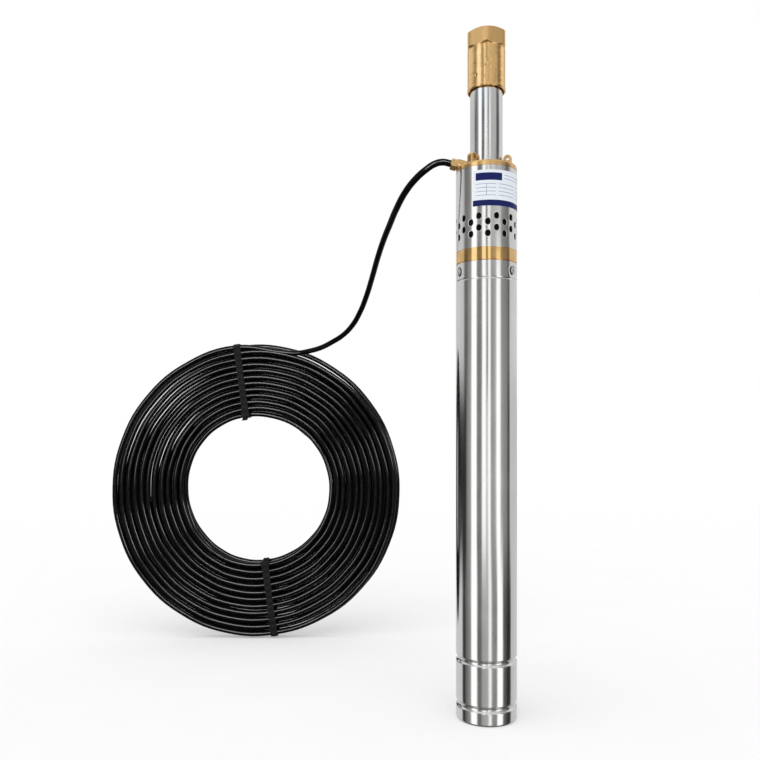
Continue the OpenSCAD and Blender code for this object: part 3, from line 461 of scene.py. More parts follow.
def lathe(name, line, material, steps=192, shift=None):
    """A body of revolution about the pump axis from a closed line of (radius, height) points.
    shift moves a point's radius by its angle and height."""
    rings = []
    for radius, height in line:
        ring = []
        for k in range(steps):
            angle = tau * k / steps
            extra = shift(angle, radius, height) if shift else 0.0
            ring.append(around(angle, radius + extra, height))
        rings.append(ring)
    return loft(name, rings, material)


def climb(low, high, step):
    """Evenly spaced heights from low to high, both included."""
    count = max(1, round((high - low) / step))
    return [low + (high - low) * k / count for k in range(count + 1)]


def smooth(value, low, high):
    """A soft step from 0 at low to 1 at high."""
    t = min(1.0, max(0.0, (value - low) / (high - low)))
    return t * t * (3 - 2 * t)


def turn_between(a, b):
    """The smaller angle between two directions."""
    return abs((a - b + pi) % tau - pi)


# Studio

# Cool panels, in which brass shows cream lights
COOL_PANEL = (1.14, 1.40, 1.95)
PALE_PANEL = (1.02, 1.14, 1.35)
# Panels of the studio that metal mirrors, one row for each part's height:
# (angle from the camera side, brightness)
BASE_ROW = [
    (-180, 0.72), (-104, 0.76), (-98, 0.05), (-88, 0.04), (-83, 0.16), (-60, 0.36), (-57, 1.45),
    (-36, 1.45), (-33, 0.16), (-19, 0.18), (-15, 0.44), (7, 0.50), (10, 1.2), (18, 1.2), (21, 0.34),
    (40, 0.22), (43, 1.45), (62, 1.45), (66, 0.14), (81, 0.08), (85, 0.03), (101, 0.03), (106, 0.68),
    (180, 0.72)]
COIL_ROW = [
    (-180, 0.62), (-140, 0.50), (-132, 0.03), (-82, 0.03), (-76, 0.30), (-60, 0.40), (-56, 1.45),
    (-38, 1.45), (-35, 0.22), (-18, 0.24), (-15, 1.4), (-3, 1.4), (0, 0.7), (5, 0.7), (7, 1.4), (14, 1.35),
    (18, 0.32), (25, 0.40), (36, 0.56), (39, 1.45), (51, 1.45), (57, 0.44), (84, 0.26), (88, 0.06),
    (95, 0.06), (100, 0.70), (180, 0.62)]
UPPER_ROW = [
    (-180, 0.80), (-95, 0.70), (-89, 0.16), (-76, 0.16), (-70, 0.36), (-59, 0.34), (-55, 1.45), (-38, 1.45),
    (-35, 0.20), (-17, 0.26), (-14, 1.4), (-2, 1.4), (1, 0.2), (5.5, 0.2), (8, 1.4), (14, 1.35), (18, 0.28),
    (25, 0.38), (36, 0.56), (39, 1.4), (51, 1.4), (57, 0.36), (85, 0.26), (89, 0.10), (94, 0.12),
    (99, 0.74), (180, 0.80)]
STRAINER_ROW = [
    (-180, 0.72), (-104, 0.74), (-93, 0.58), (-86, 0.20), (-58, 0.30), (-54, 1.45), (-37, 1.45),
    (-33, 0.28), (-18, 0.34), (-14, 1.3), (-4, 1.35), (-1.5, 0.14), (3.5, 0.14), (6, 1.3), (13, 1.2),
    (17, 0.55), (54, 0.62), (60, 0.30), (90, 0.20), (97, 0.78), (160, 0.82), (180, 0.72)]
TUBE_ROW = [
    (-180, 0.72), (-95, 0.68), (-89, 0.12), (-70, 0.20), (-58, 0.48), (-54, 1.45), (-34, 1.4), (-31, 0.06),
    (-14, 0.08), (-11, 1.3), (6, 1.25), (9, 0.26), (17, 0.30), (20, 1.2), (30, 1.1), (36, 0.55), (72, 0.62),
    (78, 0.08), (101, 0.10), (107, 0.78), (180, 0.72)]
OUTLET_ROW = [
    (-180, 0.55), (-138, 0.58), (-130, 0.98), (-82, 0.92), (-76, 0.36), (-64, 0.40), (-58, COOL_PANEL),
    (-34, COOL_PANEL), (-27, 0.62), (-19, 0.52), (-14, PALE_PANEL), (5, PALE_PANEL), (9, 0.60), (66, 0.68),
    (72, 0.30), (94, 0.32), (99, 1.1), (126, 1.05), (134, 0.52), (180, 0.55)]
# Each row with the heights of the mirrored ray between which it takes over from the row before
STUDIO_PANELS = [
    ((-1.0, -0.9), BASE_ROW), ((-0.20, -0.13), COIL_ROW), ((0.02, 0.09), UPPER_ROW),
    ((0.216, 0.234), STRAINER_ROW), ((0.318, 0.328), TUBE_ROW), ((0.400, 0.408), OUTLET_ROW),
    ((0.470, 0.480), STRAINER_ROW)]
PANEL_SCALE = 2.0
# Ceiling and ground above and below the panels: brightness, and ray heights between which they take over
CEILING_LEVEL, CEILING_FADE = 0.85, (0.60, 0.78)
GROUND_LEVEL, GROUND_FADE = 0.16, (-0.72, -0.5)


def studio_world(studio):
    """White for the camera, even light for matt surfaces and upright panels for shiny ones."""
    world = bpy.data.worlds.new("studio")
    world.use_nodes = True
    world.cycles.sampling_method = "NONE"
    tree = world.node_tree
    tree.nodes.clear()
    ray = put(tree, "ShaderNodeTexCoord").outputs["Generated"]
    way = put(tree, "ShaderNodeSeparateXYZ", {"Vector": ray}).outputs
    turn = maths(tree, "ARCTAN2", way["X"], maths(tree, "MULTIPLY", way["Y"], -1.0))
    camera_turn = atan2(studio.camera_place[0], -studio.camera_place[1])
    share = maths(tree, "MULTIPLY", maths(tree, "ADD", turn, pi - camera_turn), 1 / tau)
    panels = None
    for change, row in STUDIO_PANELS:
        tones = ramp(tree, share, [
            ((angle + 180) / 360, shade(level if isinstance(level, tuple) else (level,) * 3, 1 / PANEL_SCALE))
            for angle, level in row])
        light = put(tree, "ShaderNodeBackground", {"Color": tones, "Strength": PANEL_SCALE}).outputs[0]
        if panels is not None:
            light = mixed(tree, spread(tree, way["Z"], 0.0, 1.0, *change), panels, light)
        panels = light
    up = spread(tree, way["Z"], 0.0, 1.0, *CEILING_FADE)
    down = spread(tree, way["Z"], 1.0, 0.0, *GROUND_FADE)
    mirrored = mixed(tree, up, panels, white_light(tree, CEILING_LEVEL))
    mirrored = mixed(tree, down, mirrored, white_light(tree, GROUND_LEVEL))
    path = put(tree, "ShaderNodeLightPath").outputs
    lit = mixed(tree, path["Is Glossy Ray"], white_light(tree, studio.ambient), mirrored)
    clear = maths(tree, "MAXIMUM", path["Is Camera Ray"], path["Is Transmission Ray"])
    seen = mixed(tree, clear, lit, white_light(tree, 1.0))
    put(tree, "ShaderNodeOutputWorld", {"Surface": seen})
    return world


KEY_LEAN = (radians(22), radians(-10), 0)
FLOOR_REACH = 40.0
# Distances from the pump between which the floor fades to white, and its lift towards white before that
FLOOR_FADE = (1.3, 3.2)
FLOOR_LIFT = 0.35


def floor_material(colour):
    """Pale matt floor; for the camera it is lifted towards white and fades to it far from the pump."""
    made, tree, shader = new_material("studio_floor")
    tree.nodes.remove(shader)
    place = put(tree, "ShaderNodeTexCoord").outputs["Object"]
    far = put(tree, "ShaderNodeVectorMath", {0: place}, operation="LENGTH").outputs["Value"]
    grain = stretched_noise(tree, (1, 1, 1), 9.0, 3.0)
    tone = ramp(tree, grain, [(0.3, shade(colour, 0.99)), (0.7, shade(colour, 1.01))])
    matt = put(tree, "ShaderNodeBsdfDiffuse", {"Color": tone})
    white = put(tree, "ShaderNodeEmission", {"Color": (1, 1, 1, 1), "Strength": 1.0})
    seen = put(tree, "ShaderNodeLightPath").outputs["Is Camera Ray"]
    fade = spread(tree, far, FLOOR_LIFT, 1.0, *FLOOR_FADE)
    blend = mixed(tree, maths(tree, "MULTIPLY", fade, seen), matt.outputs[0], white.outputs[0])
    tree.links.new(blend, tree.nodes["Material Output"].inputs["Surface"])
    return made


# Soft boxes that only the black cable mirrors: (turn round the line from coil to camera, power)
CABLE_LAMPS = ((14, 68.0), (64, 66.0), (110, 70.0), (149, 52.0), (178, 62.0))
CABLE_LAMP_LEAN = radians(26)
CABLE_LAMP_FAR = 2.2
CABLE_LAMP_SIZE = (0.95, 0.5)


def cable_lamps(cord, camera_place):
    """Sets soft boxes in an arc round the coil, so that each turn shows a thin bright line."""
    group = bpy.data.collections.new("cable_lit")
    group.objects.link(cord)
    ahead = (Vector(camera_place) - coil_centre).normalized()
    right = Vector((0, 0, 1)).cross(ahead).normalized()
    up = ahead.cross(right)
    for k, (turn, energy) in enumerate(CABLE_LAMPS):
        aside = right * cos(radians(turn)) + up * sin(radians(turn))
        way = ahead * cos(CABLE_LAMP_LEAN) + aside * sin(CABLE_LAMP_LEAN)
        lamp = bpy.data.lights.new(f"cable_box_{k + 1}", "AREA")
        lamp.shape = "RECTANGLE"
        lamp.size, lamp.size_y = CABLE_LAMP_SIZE
        lamp.energy = energy
        box = bpy.data.objects.new(lamp.name, lamp)
        box.location = coil_centre + way * CABLE_LAMP_FAR
        box.rotation_euler = (-way).to_track_quat("-Z", "Y").to_euler()
        box.visible_camera = False
        box.visible_diffuse = False
        box.light_linking.receiver_collection = group
        bpy.context.scene.collection.objects.link(box)


class PUMP_OT_studio(bpy.types.Operator):
    """Sets up the camera, the lamp, the world and the floor"""

    bl_idname = "pump.studio"
    bl_label = "Studio"

    def execute(self, context):
        studio = context.scene.pump_studio
        scene = context.scene
        lens = bpy.data.cameras.new("photo_camera")
        lens.sensor_width = 36.0
        lens.lens = studio.lens
        lens.shift_y = studio.rise
        lens.clip_end = 2 * FLOOR_REACH
        camera = bpy.data.objects.new("photo_camera", lens)
        camera.location = studio.camera_place
        camera.rotation_euler = (pi / 2, 0, 0)
        scene.collection.objects.link(camera)
        scene.camera = camera

        lamp = bpy.data.lights.new("soft_key", "SUN")
        lamp.energy = studio.key_energy
        lamp.angle = studio.key_spread
        key = bpy.data.objects.new("soft_key", lamp)
        key.rotation_euler = KEY_LEAN
        key.visible_glossy = False
        scene.collection.objects.link(key)

        scene.world = studio_world(studio)
        scene.view_settings.view_transform = "Standard"

        mesh = bpy.data.meshes.new("floor")
        corners = [(x * FLOOR_REACH, y * FLOOR_REACH, 0) for x, y in ((-1, -1), (1, -1), (1, 1), (-1, 1))]
        mesh.from_pydata(corners, [], [(0, 1, 2, 3)])
        mesh.materials.append(floor_material(studio.floor_colour))
        floor = bpy.data.objects.new("floor", mesh)
        floor.visible_glossy = False
        scene.collection.objects.link(floor)
        return {"FINISHED"}


# Cable

# The cable's free stretch, point by point, in millimetres
CABLE_ROUTE = [
    (-44, 0, 685), (-54, 0, 687), (-64, 1, 685), (-75, 5, 679), (-87, 15, 671), (-99, 31, 660),
    (-110, 57, 646), (-119, 88, 632), (-127, 118, 619), (-135, 153, 603), (-143, 193, 584),
    (-153, 235, 561), (-164, 268, 541), (-177, 294, 524), (-193, 314, 511), (-211, 330, 502),
    (-230, 342, 494), (-252, 353, 489), (-274, 359, 486), (-293, 361, 487),
]
GLAND_TILT = radians(15)
GLAND_DEPTH = 0.0101
POINTS_PER_TURN = 18
TIE_ANGLES = (radians(97.4), radians(277.4))
# Angles from a strap between which the turns come loose, and what stays loose under it
TIE_HOLD = (0.1, 0.8)
TIE_SLACK = 0.25
# Share of a layer at both its ends in which the turns don't stray
END_HOLD = 0.06
# How fast the straying of the turns, outwards and in depth, changes round the coil and from turn to turn
STRAY_PACE = (1.3, 2.3)
LIFT_PACE = (1.5, 1.9)
LIFT_SHARE = 0.45
COIL_LAYERS = 3
COIL_INNER = 0.12625
# The hole is narrower at nine o'clock and sits high; the outer turns stand a little taller than wide
COIL_SLACK = 0.0075
SLACK_WIDTH = radians(45)
HOLE_RISE = 0.0073
COIL_TALL = 0.0050
COIL_RISE = 0.0016
# Share of the first turn in which the cable climbs from its free stretch onto the coil
COIL_ENTRY = 0.055


def coil_edges(cable, angle):
    """Radii of the innermost and outermost turns at an angle."""
    slack = COIL_SLACK * exp(-(turn_between(angle, pi) / SLACK_WIDTH) ** 2)
    inner = COIL_INNER + HOLE_RISE * sin(angle) - slack
    outer = coil_high.x - coil_centre.x - cable.diameter / 2
    return inner, outer + COIL_TALL * sin(angle) ** 2 + COIL_RISE * sin(angle)


def coil_points(cable, start_angle):
    """The coil's turns: inwards in front, outwards in the middle, inwards at the back half a pitch aside."""
    entry = coil_high.x - coil_centre.x - cable.diameter / 2
    pitch = (entry - COIL_INNER) / cable.turns
    per_layer = cable.turns * POINTS_PER_TURN
    points = []
    for layer in range(COIL_LAYERS):
        for k in range(per_layer):
            share = k / per_layer
            turn = cable.turns * (layer + share)
            angle = start_angle + tau * turn
            inward = share if layer % 2 == 0 else 1 - share
            inner, outer = coil_edges(cable, angle)
            outer = entry + (outer - entry) * smooth(turn, 0.0, COIL_ENTRY)
            radius = outer - (outer - inner) * inward
            if layer == COIL_LAYERS - 1:
                radius -= pitch / 2 * smooth(share, 0.0, 0.5 / cable.turns) * (1 - smooth(share, 0.9, 1.0))
            held = min(turn_between(angle, tie) for tie in TIE_ANGLES)
            loose = TIE_SLACK + (1 - TIE_SLACK) * smooth(held, *TIE_HOLD)
            loose *= smooth(min(share, 1 - share), 0.0, END_HOLD)
            stray, lift = (
                noise.noise(Vector((pace * cos(angle) + aside, pace * sin(angle), step * turn)))
                for (pace, step), aside in ((STRAY_PACE, 0), (LIFT_PACE, 9)))
            radius += cable.wander * loose * stray
            cross = smooth(share, 1 - 0.35 / cable.turns, 1.0)
            depth = (min(layer + cross, 2.0) - 1) * cable.layer_step
            depth += LIFT_SHARE * cable.wander * loose * lift
            points.append(Vector((coil_centre.x + radius * cos(angle), coil_centre.y + depth,
                                  coil_centre.z + radius * sin(angle))))
    return points


def smooth_curve(name, points, diameter, material):
    """A round cord along a smooth curve through the points."""
    curve = bpy.data.curves.new(name, "CURVE")
    curve.dimensions = "3D"
    curve.bevel_depth = diameter / 2
    curve.bevel_resolution = 4
    curve.resolution_u = 6
    curve.use_fill_caps = True
    line = curve.splines.new("BEZIER")
    line.bezier_points.add(len(points) - 1)
    for knot, point in zip(line.bezier_points, points):
        knot.co = point
        knot.handle_left_type = "AUTO"
        knot.handle_right_type = "AUTO"
    curve.materials.append(material)
    made = bpy.data.objects.new(name, curve)
    bpy.context.scene.collection.objects.link(made)
    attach(made, HOUSING)
    return made


# The cable's cores at its bare end: side of the cable, name and colour
CABLE_CORES = (
    (radians(90), "core_brown", (0.085, 0.032, 0.014)),
    (radians(210), "core_blue", (0.015, 0.085, 0.36)),
    (radians(330), "core_earth", (0.33, 0.42, 0.03)))
# A core's cover and its copper past the sheath's end: (from, to, radius)
CORE_PARTS = ((-0.004, 0.022, 0.0014), (0.021, 0.030, 0.0008))
# The cores' distance from the cable's line at the sheath's end, and how they spread along it
CORE_APART = 0.0018
CORE_FAN = 0.07


def cable_cores(end):
    """The three cores that stand out of the sheath, with stripped copper ends."""
    first, far = atan2(end.z, end.x), hypot(end.x, end.z)
    deep = Vector((0, 1, 0))
    skins, kinds = [], []
    for low, high, size in CORE_PARTS:
        for core, (side, _, _) in enumerate(CABLE_CORES):
            rings = []
            for s in climb(low, high, 0.001):
                apart = CORE_APART + CORE_FAN * max(0.0, s)
                out = Vector((cos(first + s / far), 0, sin(first + s / far)))
                middle = coil_centre + out * (far + apart * cos(side)) + deep * (end.y + apart * sin(side))
                rings.append(circle(middle, out, deep, size, 24))
            skins.append(skin(rings, False))
            copper = (low, high, size) == CORE_PARTS[-1]
            kinds += [len(CABLE_CORES) if copper else core] * len(skins[-1][1])
    made = [finish(name, colour, 0.0, 0.4, scale=200, mottle=0.1) for _, name, colour in CABLE_CORES]
    cores = mesh_piece("cable_cores", *merge(skins), made[0])
    for material in (*made[1:], FINISHES["copper_winding"]):
        cores.data.materials.append(material)
    cores.data.polygons.foreach_set("material_index", kinds)
    return cores


class PUMP_OT_cable(bpy.types.Operator):
    """Lays the cable from the gland into its coil"""

    bl_idname = "pump.cable"
    bl_label = "Cable"

    def execute(self, context):
        cable = context.scene.pump_cable
        material = FINISHES["cable_sheath"]
        route = [Vector(p) * MM for p in CABLE_ROUTE]
        inward = Vector((cos(GLAND_TILT), 0, -sin(GLAND_TILT)))
        gland_end = route[0] + inward * GLAND_DEPTH
        last = route[-1] - coil_centre
        turns = coil_points(cable, atan2(last.z, last.x))
        points = [gland_end, *route[:-1], *turns]
        cord = smooth_curve("power_cable", points, cable.diameter, material)
        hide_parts("cable_run", "cable_coil")
        straps = [coil_strap(f"coil_strap_{k + 1}", angle, cable, turns)
                  for k, angle in enumerate(TIE_ANGLES)]
        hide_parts("coil_ties")
        cores = cable_cores(points[-1] - coil_centre)
        cable_lamps(cord, context.scene.pump_studio.camera_place)
        return {"FINISHED"}


STRAP_THICK = 0.0013
# How far a strap dips between two turns, and the angle within which it holds them
STRAP_SAG = 0.0011
STRAP_NEAR = radians(11)
# A strap's section: (height over the turns, share of its width)
STRAP_SECTION = (
    (0.0003, -0.5), (0.0003, 0.5), (0.0007, 0.5), (STRAP_THICK, 0.38), (STRAP_THICK + 0.0002, 0.0),
    (STRAP_THICK, -0.38), (0.0007, -0.5))
# Half sizes of the buckle and of the cut tail: along the strap, across it and outwards; then the edge radius
BUCKLE_HALF, BUCKLE_EDGE = (0.0045, 0.0072, 0.0022), 0.0011
TAIL_HALF, TAIL_EDGE = (0.004, 0.0048, 0.0007), 0.0004
# The tail's middle: outwards from the ring's inner edge, across the strap and back from the coil's front
TAIL_PLACE = (-0.0012, 0.0015, 0.004)


def strap_reach(angle, cable, turns):
    """Radii between which a strap holds the turns near its angle."""
    reach = []
    for point in turns:
        out = point - coil_centre
        if turn_between(atan2(out.z, out.x), angle) < STRAP_NEAR:
            reach.append(hypot(out.x, out.z))
    return min(reach) - cable.diameter / 2, max(reach) + cable.diameter / 2


def strap_rings(angle, cable, inner, outer):
    """Loops of points along a strap's edges: over the turns in front, straight behind."""
    half_depth = coil_high.y - coil_centre.y
    corner = cable.diameter / 2
    pitch = (outer - inner - cable.diameter) / cable.turns
    near, far, deep = inner + corner, outer - corner, half_depth - corner
    line = [(radius, -half_depth, Vector((0, -1))) for radius in climb(near, far, 0.0015)[::-1]]
    for middle, depth, first in ((near, -deep, -90), (near, deep, 180), (far, deep, 90), (far, -deep, 0)):
        for s in range(1, 8):
            a = radians(first - 90 * s / 8)
            line.append((middle + corner * cos(a), depth + corner * sin(a), Vector((cos(a), sin(a)))))
    along = Vector((cos(angle), 0, sin(angle)))
    across = Vector((-sin(angle), 0, cos(angle)))
    rings = []
    for grow, side in STRAP_SECTION:
        ring = []
        for radius, depth, out in line:
            in_front = -out.y if depth < 0 else 0.0
            sag = STRAP_SAG * max(0.0, in_front) * (0.5 - 0.5 * cos(tau * (far - radius) / pitch))
            waist = smooth(abs(radius - (inner + outer) / 2), 0.06, 0.0)
            width = side * cable.strap_width * (1 - 0.10 * waist)
            r = radius + grow * out.x
            d = depth + grow * out.y + sag
            ring.append(coil_centre + along * r + across * width + Vector((0, d, 0)))
        rings.append(ring)
    return rings


def coil_strap(name, angle, cable, turns):
    """A flat strap pulled tight round the coil, with its buckle and cut tail at the ring's inner edge."""
    half_depth = coil_high.y - coil_centre.y
    inner, outer = strap_reach(angle, cable, turns)
    along = Vector((cos(angle), 0, sin(angle)))
    across = Vector((-sin(angle), 0, cos(angle)))
    skins = [skin(strap_rings(angle, cable, inner, outer))]
    long, wide, high = BUCKLE_HALF
    place = coil_centre + along * (inner + long) + Vector((0, -half_depth - STRAP_THICK, 0))
    skins.append(rounded_block(place, along * long, across * wide, Vector((0, high, 0)), BUCKLE_EDGE))
    long, wide, high = TAIL_HALF
    out, aside, back = TAIL_PLACE
    tail = coil_centre + along * (inner + out) + Vector((0, -half_depth + back, 0)) + across * aside
    skins.append(rounded_block(
        tail, along * long - across * (long / 2), across * wide, Vector((0, high, 0)), TAIL_EDGE))
    return mesh_piece(name, *merge(skins), FINISHES["tie_nylon"])


# Motor barrel

# Rolled grooves: heights, radii of hollow and shoulders, half widths of the hollow and of the whole
GROOVE_HEIGHTS = (0.020, 0.075)
GROOVE_HOLLOW = 0.004
GROOVE_SHOULDER = 0.002
GROOVE_HALF = (0.00298, 0.004472)
# The fine rolled line: height, radius, half width and how far its centre is outside the wall
LINE_HEIGHT = 0.5375
LINE_ROUND = 0.002
LINE_HALF = 0.0012
LINE_OUT = 0.0016
SCREW_HEIGHT = 0.5475
SCREW_ANGLES = (radians(50), radians(170), radians(290))
# Dimples round the screws: depth, reach of the painted shade on their floor, reach, pressed edge, and a soft
# roll round it
DIMPLE_DEPTH = 0.0019
DIMPLE_SHADE_REACH = 0.0050
DIMPLE_REACH = 0.009
DIMPLE_EDGE = (0.0046, 0.0061)
ROLL_DEPTH = 0.00022
ROLL_EDGE = (0.0058, 0.0085)
BARREL_WALL = 0.0015
BARREL_EDGE = 0.0004
BASE_HOLE = 0.031
BASE_ROUND = 0.003
BASE_WALL = 0.0017
SEAM = 0.0005
# Rings of the barrel's wall, closest at grooves and dimples: (low, high, step)
BARREL_BANDS = (
    (0.0034, 0.0154, 0.004), (0.0154, 0.0246, 0.0004), (0.0246, 0.0704, 0.008), (0.0704, 0.0796, 0.0004),
    (0.0796, 0.5358, 0.05), (0.5358, 0.5392, 0.0003), (0.5392, 0.5586, 0.0005))


def barrel_radius(height):
    """Outside radius of the barrel: two rolled grooves with soft shoulders and one fine rolled line."""
    hollow, whole = GROOVE_HALF
    for centre in GROOVE_HEIGHTS:
        far = abs(height - centre)
        if far < hollow:
            return body_r + GROOVE_SHOULDER - sqrt(GROOVE_HOLLOW ** 2 - far ** 2)
        if far < whole:
            return body_r - GROOVE_SHOULDER + sqrt(GROOVE_SHOULDER ** 2 - (whole - far) ** 2)
    far = abs(height - LINE_HEIGHT)
    if far < LINE_HALF:
        return body_r + LINE_OUT - sqrt(LINE_ROUND ** 2 - far ** 2)
    return body_r


def screw_distance(angle, height):
    """Distance along the barrel's wall to the axis of the nearest screw."""
    return min(hypot(body_r * turn_between(angle, screw), height - SCREW_HEIGHT)
               for screw in SCREW_ANGLES)


def dimple(angle, radius, height):
    """How far the pressed dimples round the screws move the barrel's wall."""
    if abs(height - SCREW_HEIGHT) > DIMPLE_REACH:
        return 0.0
    far = screw_distance(angle, height)
    outside = radius > body_r - BARREL_WALL / 2
    rolled = ROLL_DEPTH * (1 - smooth(far, *ROLL_EDGE)) if outside else 0.0
    return -(DIMPLE_DEPTH - ROLL_DEPTH) * (1 - smooth(far, *DIMPLE_EDGE)) - rolled


class PUMP_OT_barrel(bpy.types.Operator):
    """Rolls the motor barrel with its grooves, turned-in base and pressed dimples"""

    bl_idname = "pump.barrel"
    bl_label = "Motor barrel"

    def execute(self, context):
        heights = []
        for band in BARREL_BANDS:
            heights += climb(*band)[:-1]
        top = barrel_top - SEAM
        line = fillet_line([(BASE_HOLE, 0, 0), (body_r, 0, BASE_ROUND), (body_r, heights[0], 0)], 8)[:-1]
        line += [(barrel_radius(z), z) for z in heights]
        line += [(body_r, top - BARREL_EDGE), (body_r - BARREL_EDGE, top), (body_r - BARREL_WALL, top)]
        line += [(min(body_r, barrel_radius(z) + 0.0003) - BARREL_WALL, z) for z in reversed(heights)]
        line += [(0.0345, BASE_WALL), (BASE_HOLE, BASE_WALL)]
        barrel = lathe("rolled_barrel", line, FINISHES["polished_stainless"], 320, dimple)
        # Painted shade: the dimple floors round the screws get a near-black finish
        barrel.data.materials.append(FINISHES["painted_screw_shade"])
        for face in barrel.data.polygons:
            if screw_distance(atan2(face.center.x, -face.center.y), face.center.z) < DIMPLE_SHADE_REACH:
                face.material_index = 1
        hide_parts("motor_barrel")
        return {"FINISHED"}


SCREW_FLOOR = 0.0356
HEAD_EDGE = 0.0375
SCREW_SIDES = 48
# The head's faces below its edge get painted shade, a near-black finish, inside the first and outside the
# second distance from its middle
HEAD_SHADE_RING = (0.0017, 0.0034)
# Rings of a screw from its tip outwards: (radius, distance from the pump axis)
SCREW_RINGS = (
    (0.0016, 0.0290), (0.0025, 0.0297), (0.0025, SCREW_FLOOR), (0.00425, SCREW_FLOOR), (0.00425, HEAD_EDGE),
    (0.0040, 0.0379), (0.0034, 0.03820), (0.0026, 0.03836), (0.0019, 0.03840))
# The cross recess: radius of its core, length of its arms past that, and its turn
RECESS_CORE = 0.0007
RECESS_ARM = 0.0011
RECESS_TURN = 0.7
# Rings of the cross recess: (share of its width, distance from the pump axis)
RECESS_RINGS = ((1.0, 0.03838), (0.9, 0.0379), (0.55, 0.0369))


def barrel_screw(turn):
    """Skin of one pan-head screw with a cross recess, set into its dimple."""
    out, side, up = around(turn, 1, 0), around(turn + pi / 2, 1, 0), Vector((0, 0, 1))
    middle = Vector((0, 0, SCREW_HEIGHT))
    rings = []
    for radius, reach in SCREW_RINGS:
        rings.append(circle(middle + out * reach, side, up, radius, SCREW_SIDES))
    for size, reach in RECESS_RINGS:
        ring = []
        for k in range(SCREW_SIDES):
            a = tau * k / SCREW_SIDES
            radius = size * (RECESS_CORE + RECESS_ARM * abs(cos(2 * a + RECESS_TURN)) ** 5)
            ring.append(middle + out * reach + side * (radius * cos(a)) + up * (radius * sin(a)))
        rings.append(ring)
    return skin(rings, False)


class PUMP_OT_screws(bpy.types.Operator):
    """Sets the three pan-head screws into the barrel's dimples"""

    bl_idname = "pump.screws"
    bl_label = "Barrel screws"

    def execute(self, context):
        skins = [barrel_screw(turn) for turn in SCREW_ANGLES]
        screws = mesh_piece("pan_screws", *merge(skins), FINISHES["fastener_steel"])
        # Painted shade: the screw heads' faces below their edge get a near-black finish, but for a ring
        # between
        screws.data.materials.append(FINISHES["painted_screw_shade"])
        for face in screws.data.polygons:
            across = hypot(face.center.x, face.center.y)
            far = screw_distance(atan2(face.center.x, -face.center.y), face.center.z)
            if across < HEAD_EDGE and not HEAD_SHADE_RING[0] <= far <= HEAD_SHADE_RING[1]:
                face.material_index = 1
        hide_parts("barrel_screws")
        return {"FINISHED"}


# Strainer and label

HOLE_COLUMNS = 22
HOLE_FIRST = radians(27.7)
# Half width of a hole, and half of the straight part of its sides
HOLE_HALF = 0.0031
HOLE_STRAIGHT = 0.0007
# The grid of the sheet: its step in height, and the steps of a hole's cell up and across
CELL_STEP = 0.00175
CELL_SIDE = 8
CELL_ACROSS = 12
# Height of the grid's first level over the lower edge, and lowest level of the cells in even and odd columns
CELL_FOOT = 0.009
CELL_LOW = (5, 9)
SHEET_WALL = 0.0009
# Rings from a hole's edge outwards: (distance from the edge, sink below the sheet)
HOLE_RIM = (
    (0.0015, 0.0), (0.0008, 0.0), (0.0005, 0.00003), (0.00025, 0.0001), (0.0001, 0.00022),
    (0.0, 0.00045), (0.0, SHEET_WALL))
# The near-black sleeve behind the holes, painted shade so that they show dark: (radius, height)
SHADE_SLEEVE_LINE = ((0.0354, 0.5815), (0.0357, 0.5815), (0.0357, 0.6600), (0.0354, 0.6600))
SHADE_SLEEVE_SIDES = 128


def hole_reach(across, up):
    """Distance from a hole's centre to its edge in a direction."""
    size = hypot(across, up)
    c, s = abs(across) / size, abs(up) / size
    if c > 0 and HOLE_HALF / c * s <= HOLE_STRAIGHT:
        return HOLE_HALF / c
    return s * HOLE_STRAIGHT + sqrt((s * HOLE_STRAIGHT) ** 2 - HOLE_STRAIGHT ** 2 + HOLE_HALF ** 2)


def perforated_sheet():
    """Points and faces of the rolled sheet with its staggered rows of punched holes."""
    foot = strainer_low.z + CELL_FOOT
    levels = [foot + CELL_STEP * k for k in range(-4, 60)]
    levels = [z for z in levels if z < strainer_high.z - CELL_STEP / 2]
    levels = [strainer_low.z, *levels, strainer_high.z - SEAM]
    ring_count = HOLE_COLUMNS * CELL_ACROSS
    turn = tau / HOLE_COLUMNS
    points, faces = [], []
    for radius in (body_r, body_r - SHEET_WALL):
        for z in levels:
            for k in range(ring_count):
                points.append(around(HOLE_FIRST + turn * (k / CELL_ACROSS - 0.5), radius, z))
    inside = len(levels) * ring_count

    def at(level, k):
        return level * ring_count + k % ring_count

    for column in range(HOLE_COLUMNS):
        low = CELL_LOW[column % 2]
        for level in range(len(levels) - 1):
            if low <= level < low + 2 * CELL_SIDE:
                continue
            for k in range(column * CELL_ACROSS, (column + 1) * CELL_ACROSS):
                quad = (at(level, k), at(level, k + 1), at(level + 1, k + 1), at(level + 1, k))
                faces.append(quad)
                faces.append(tuple(p + inside for p in reversed(quad)))
        for cell in range(2):
            base = low + cell * CELL_SIDE
            left = column * CELL_ACROSS
            edge = [at(base, left + k) for k in range(CELL_ACROSS)]
            edge += [at(base + k, left + CELL_ACROSS) for k in range(CELL_SIDE)]
            edge += [at(base + CELL_SIDE, left + CELL_ACROSS - k) for k in range(CELL_ACROSS)]
            edge += [at(base + CELL_SIDE - k, left) for k in range(CELL_SIDE)]
            middle_turn = HOLE_FIRST + turn * column
            middle_z = levels[base + CELL_SIDE // 2]
            previous = edge
            for out, sink in HOLE_RIM:
                ring = []
                for p in edge:
                    side = atan2(points[p].x, -points[p].y) - middle_turn
                    across = body_r * ((side + pi) % tau - pi)
                    up = points[p].z - middle_z
                    share = (hole_reach(across, up) + out) / hypot(across, up)
                    ring.append(len(points))
                    points.append(around(
                        middle_turn + across * share / body_r, body_r - sink, middle_z + up * share))
                faces += bridge(previous, ring)
                previous = ring
            faces += bridge(previous, [p + inside for p in edge])
    top = len(levels) - 1
    for k in range(ring_count):
        faces.append((at(0, k + 1), at(0, k), at(0, k) + inside, at(0, k + 1) + inside))
        faces.append((at(top, k), at(top, k + 1), at(top, k + 1) + inside, at(top, k) + inside))
    return points, faces


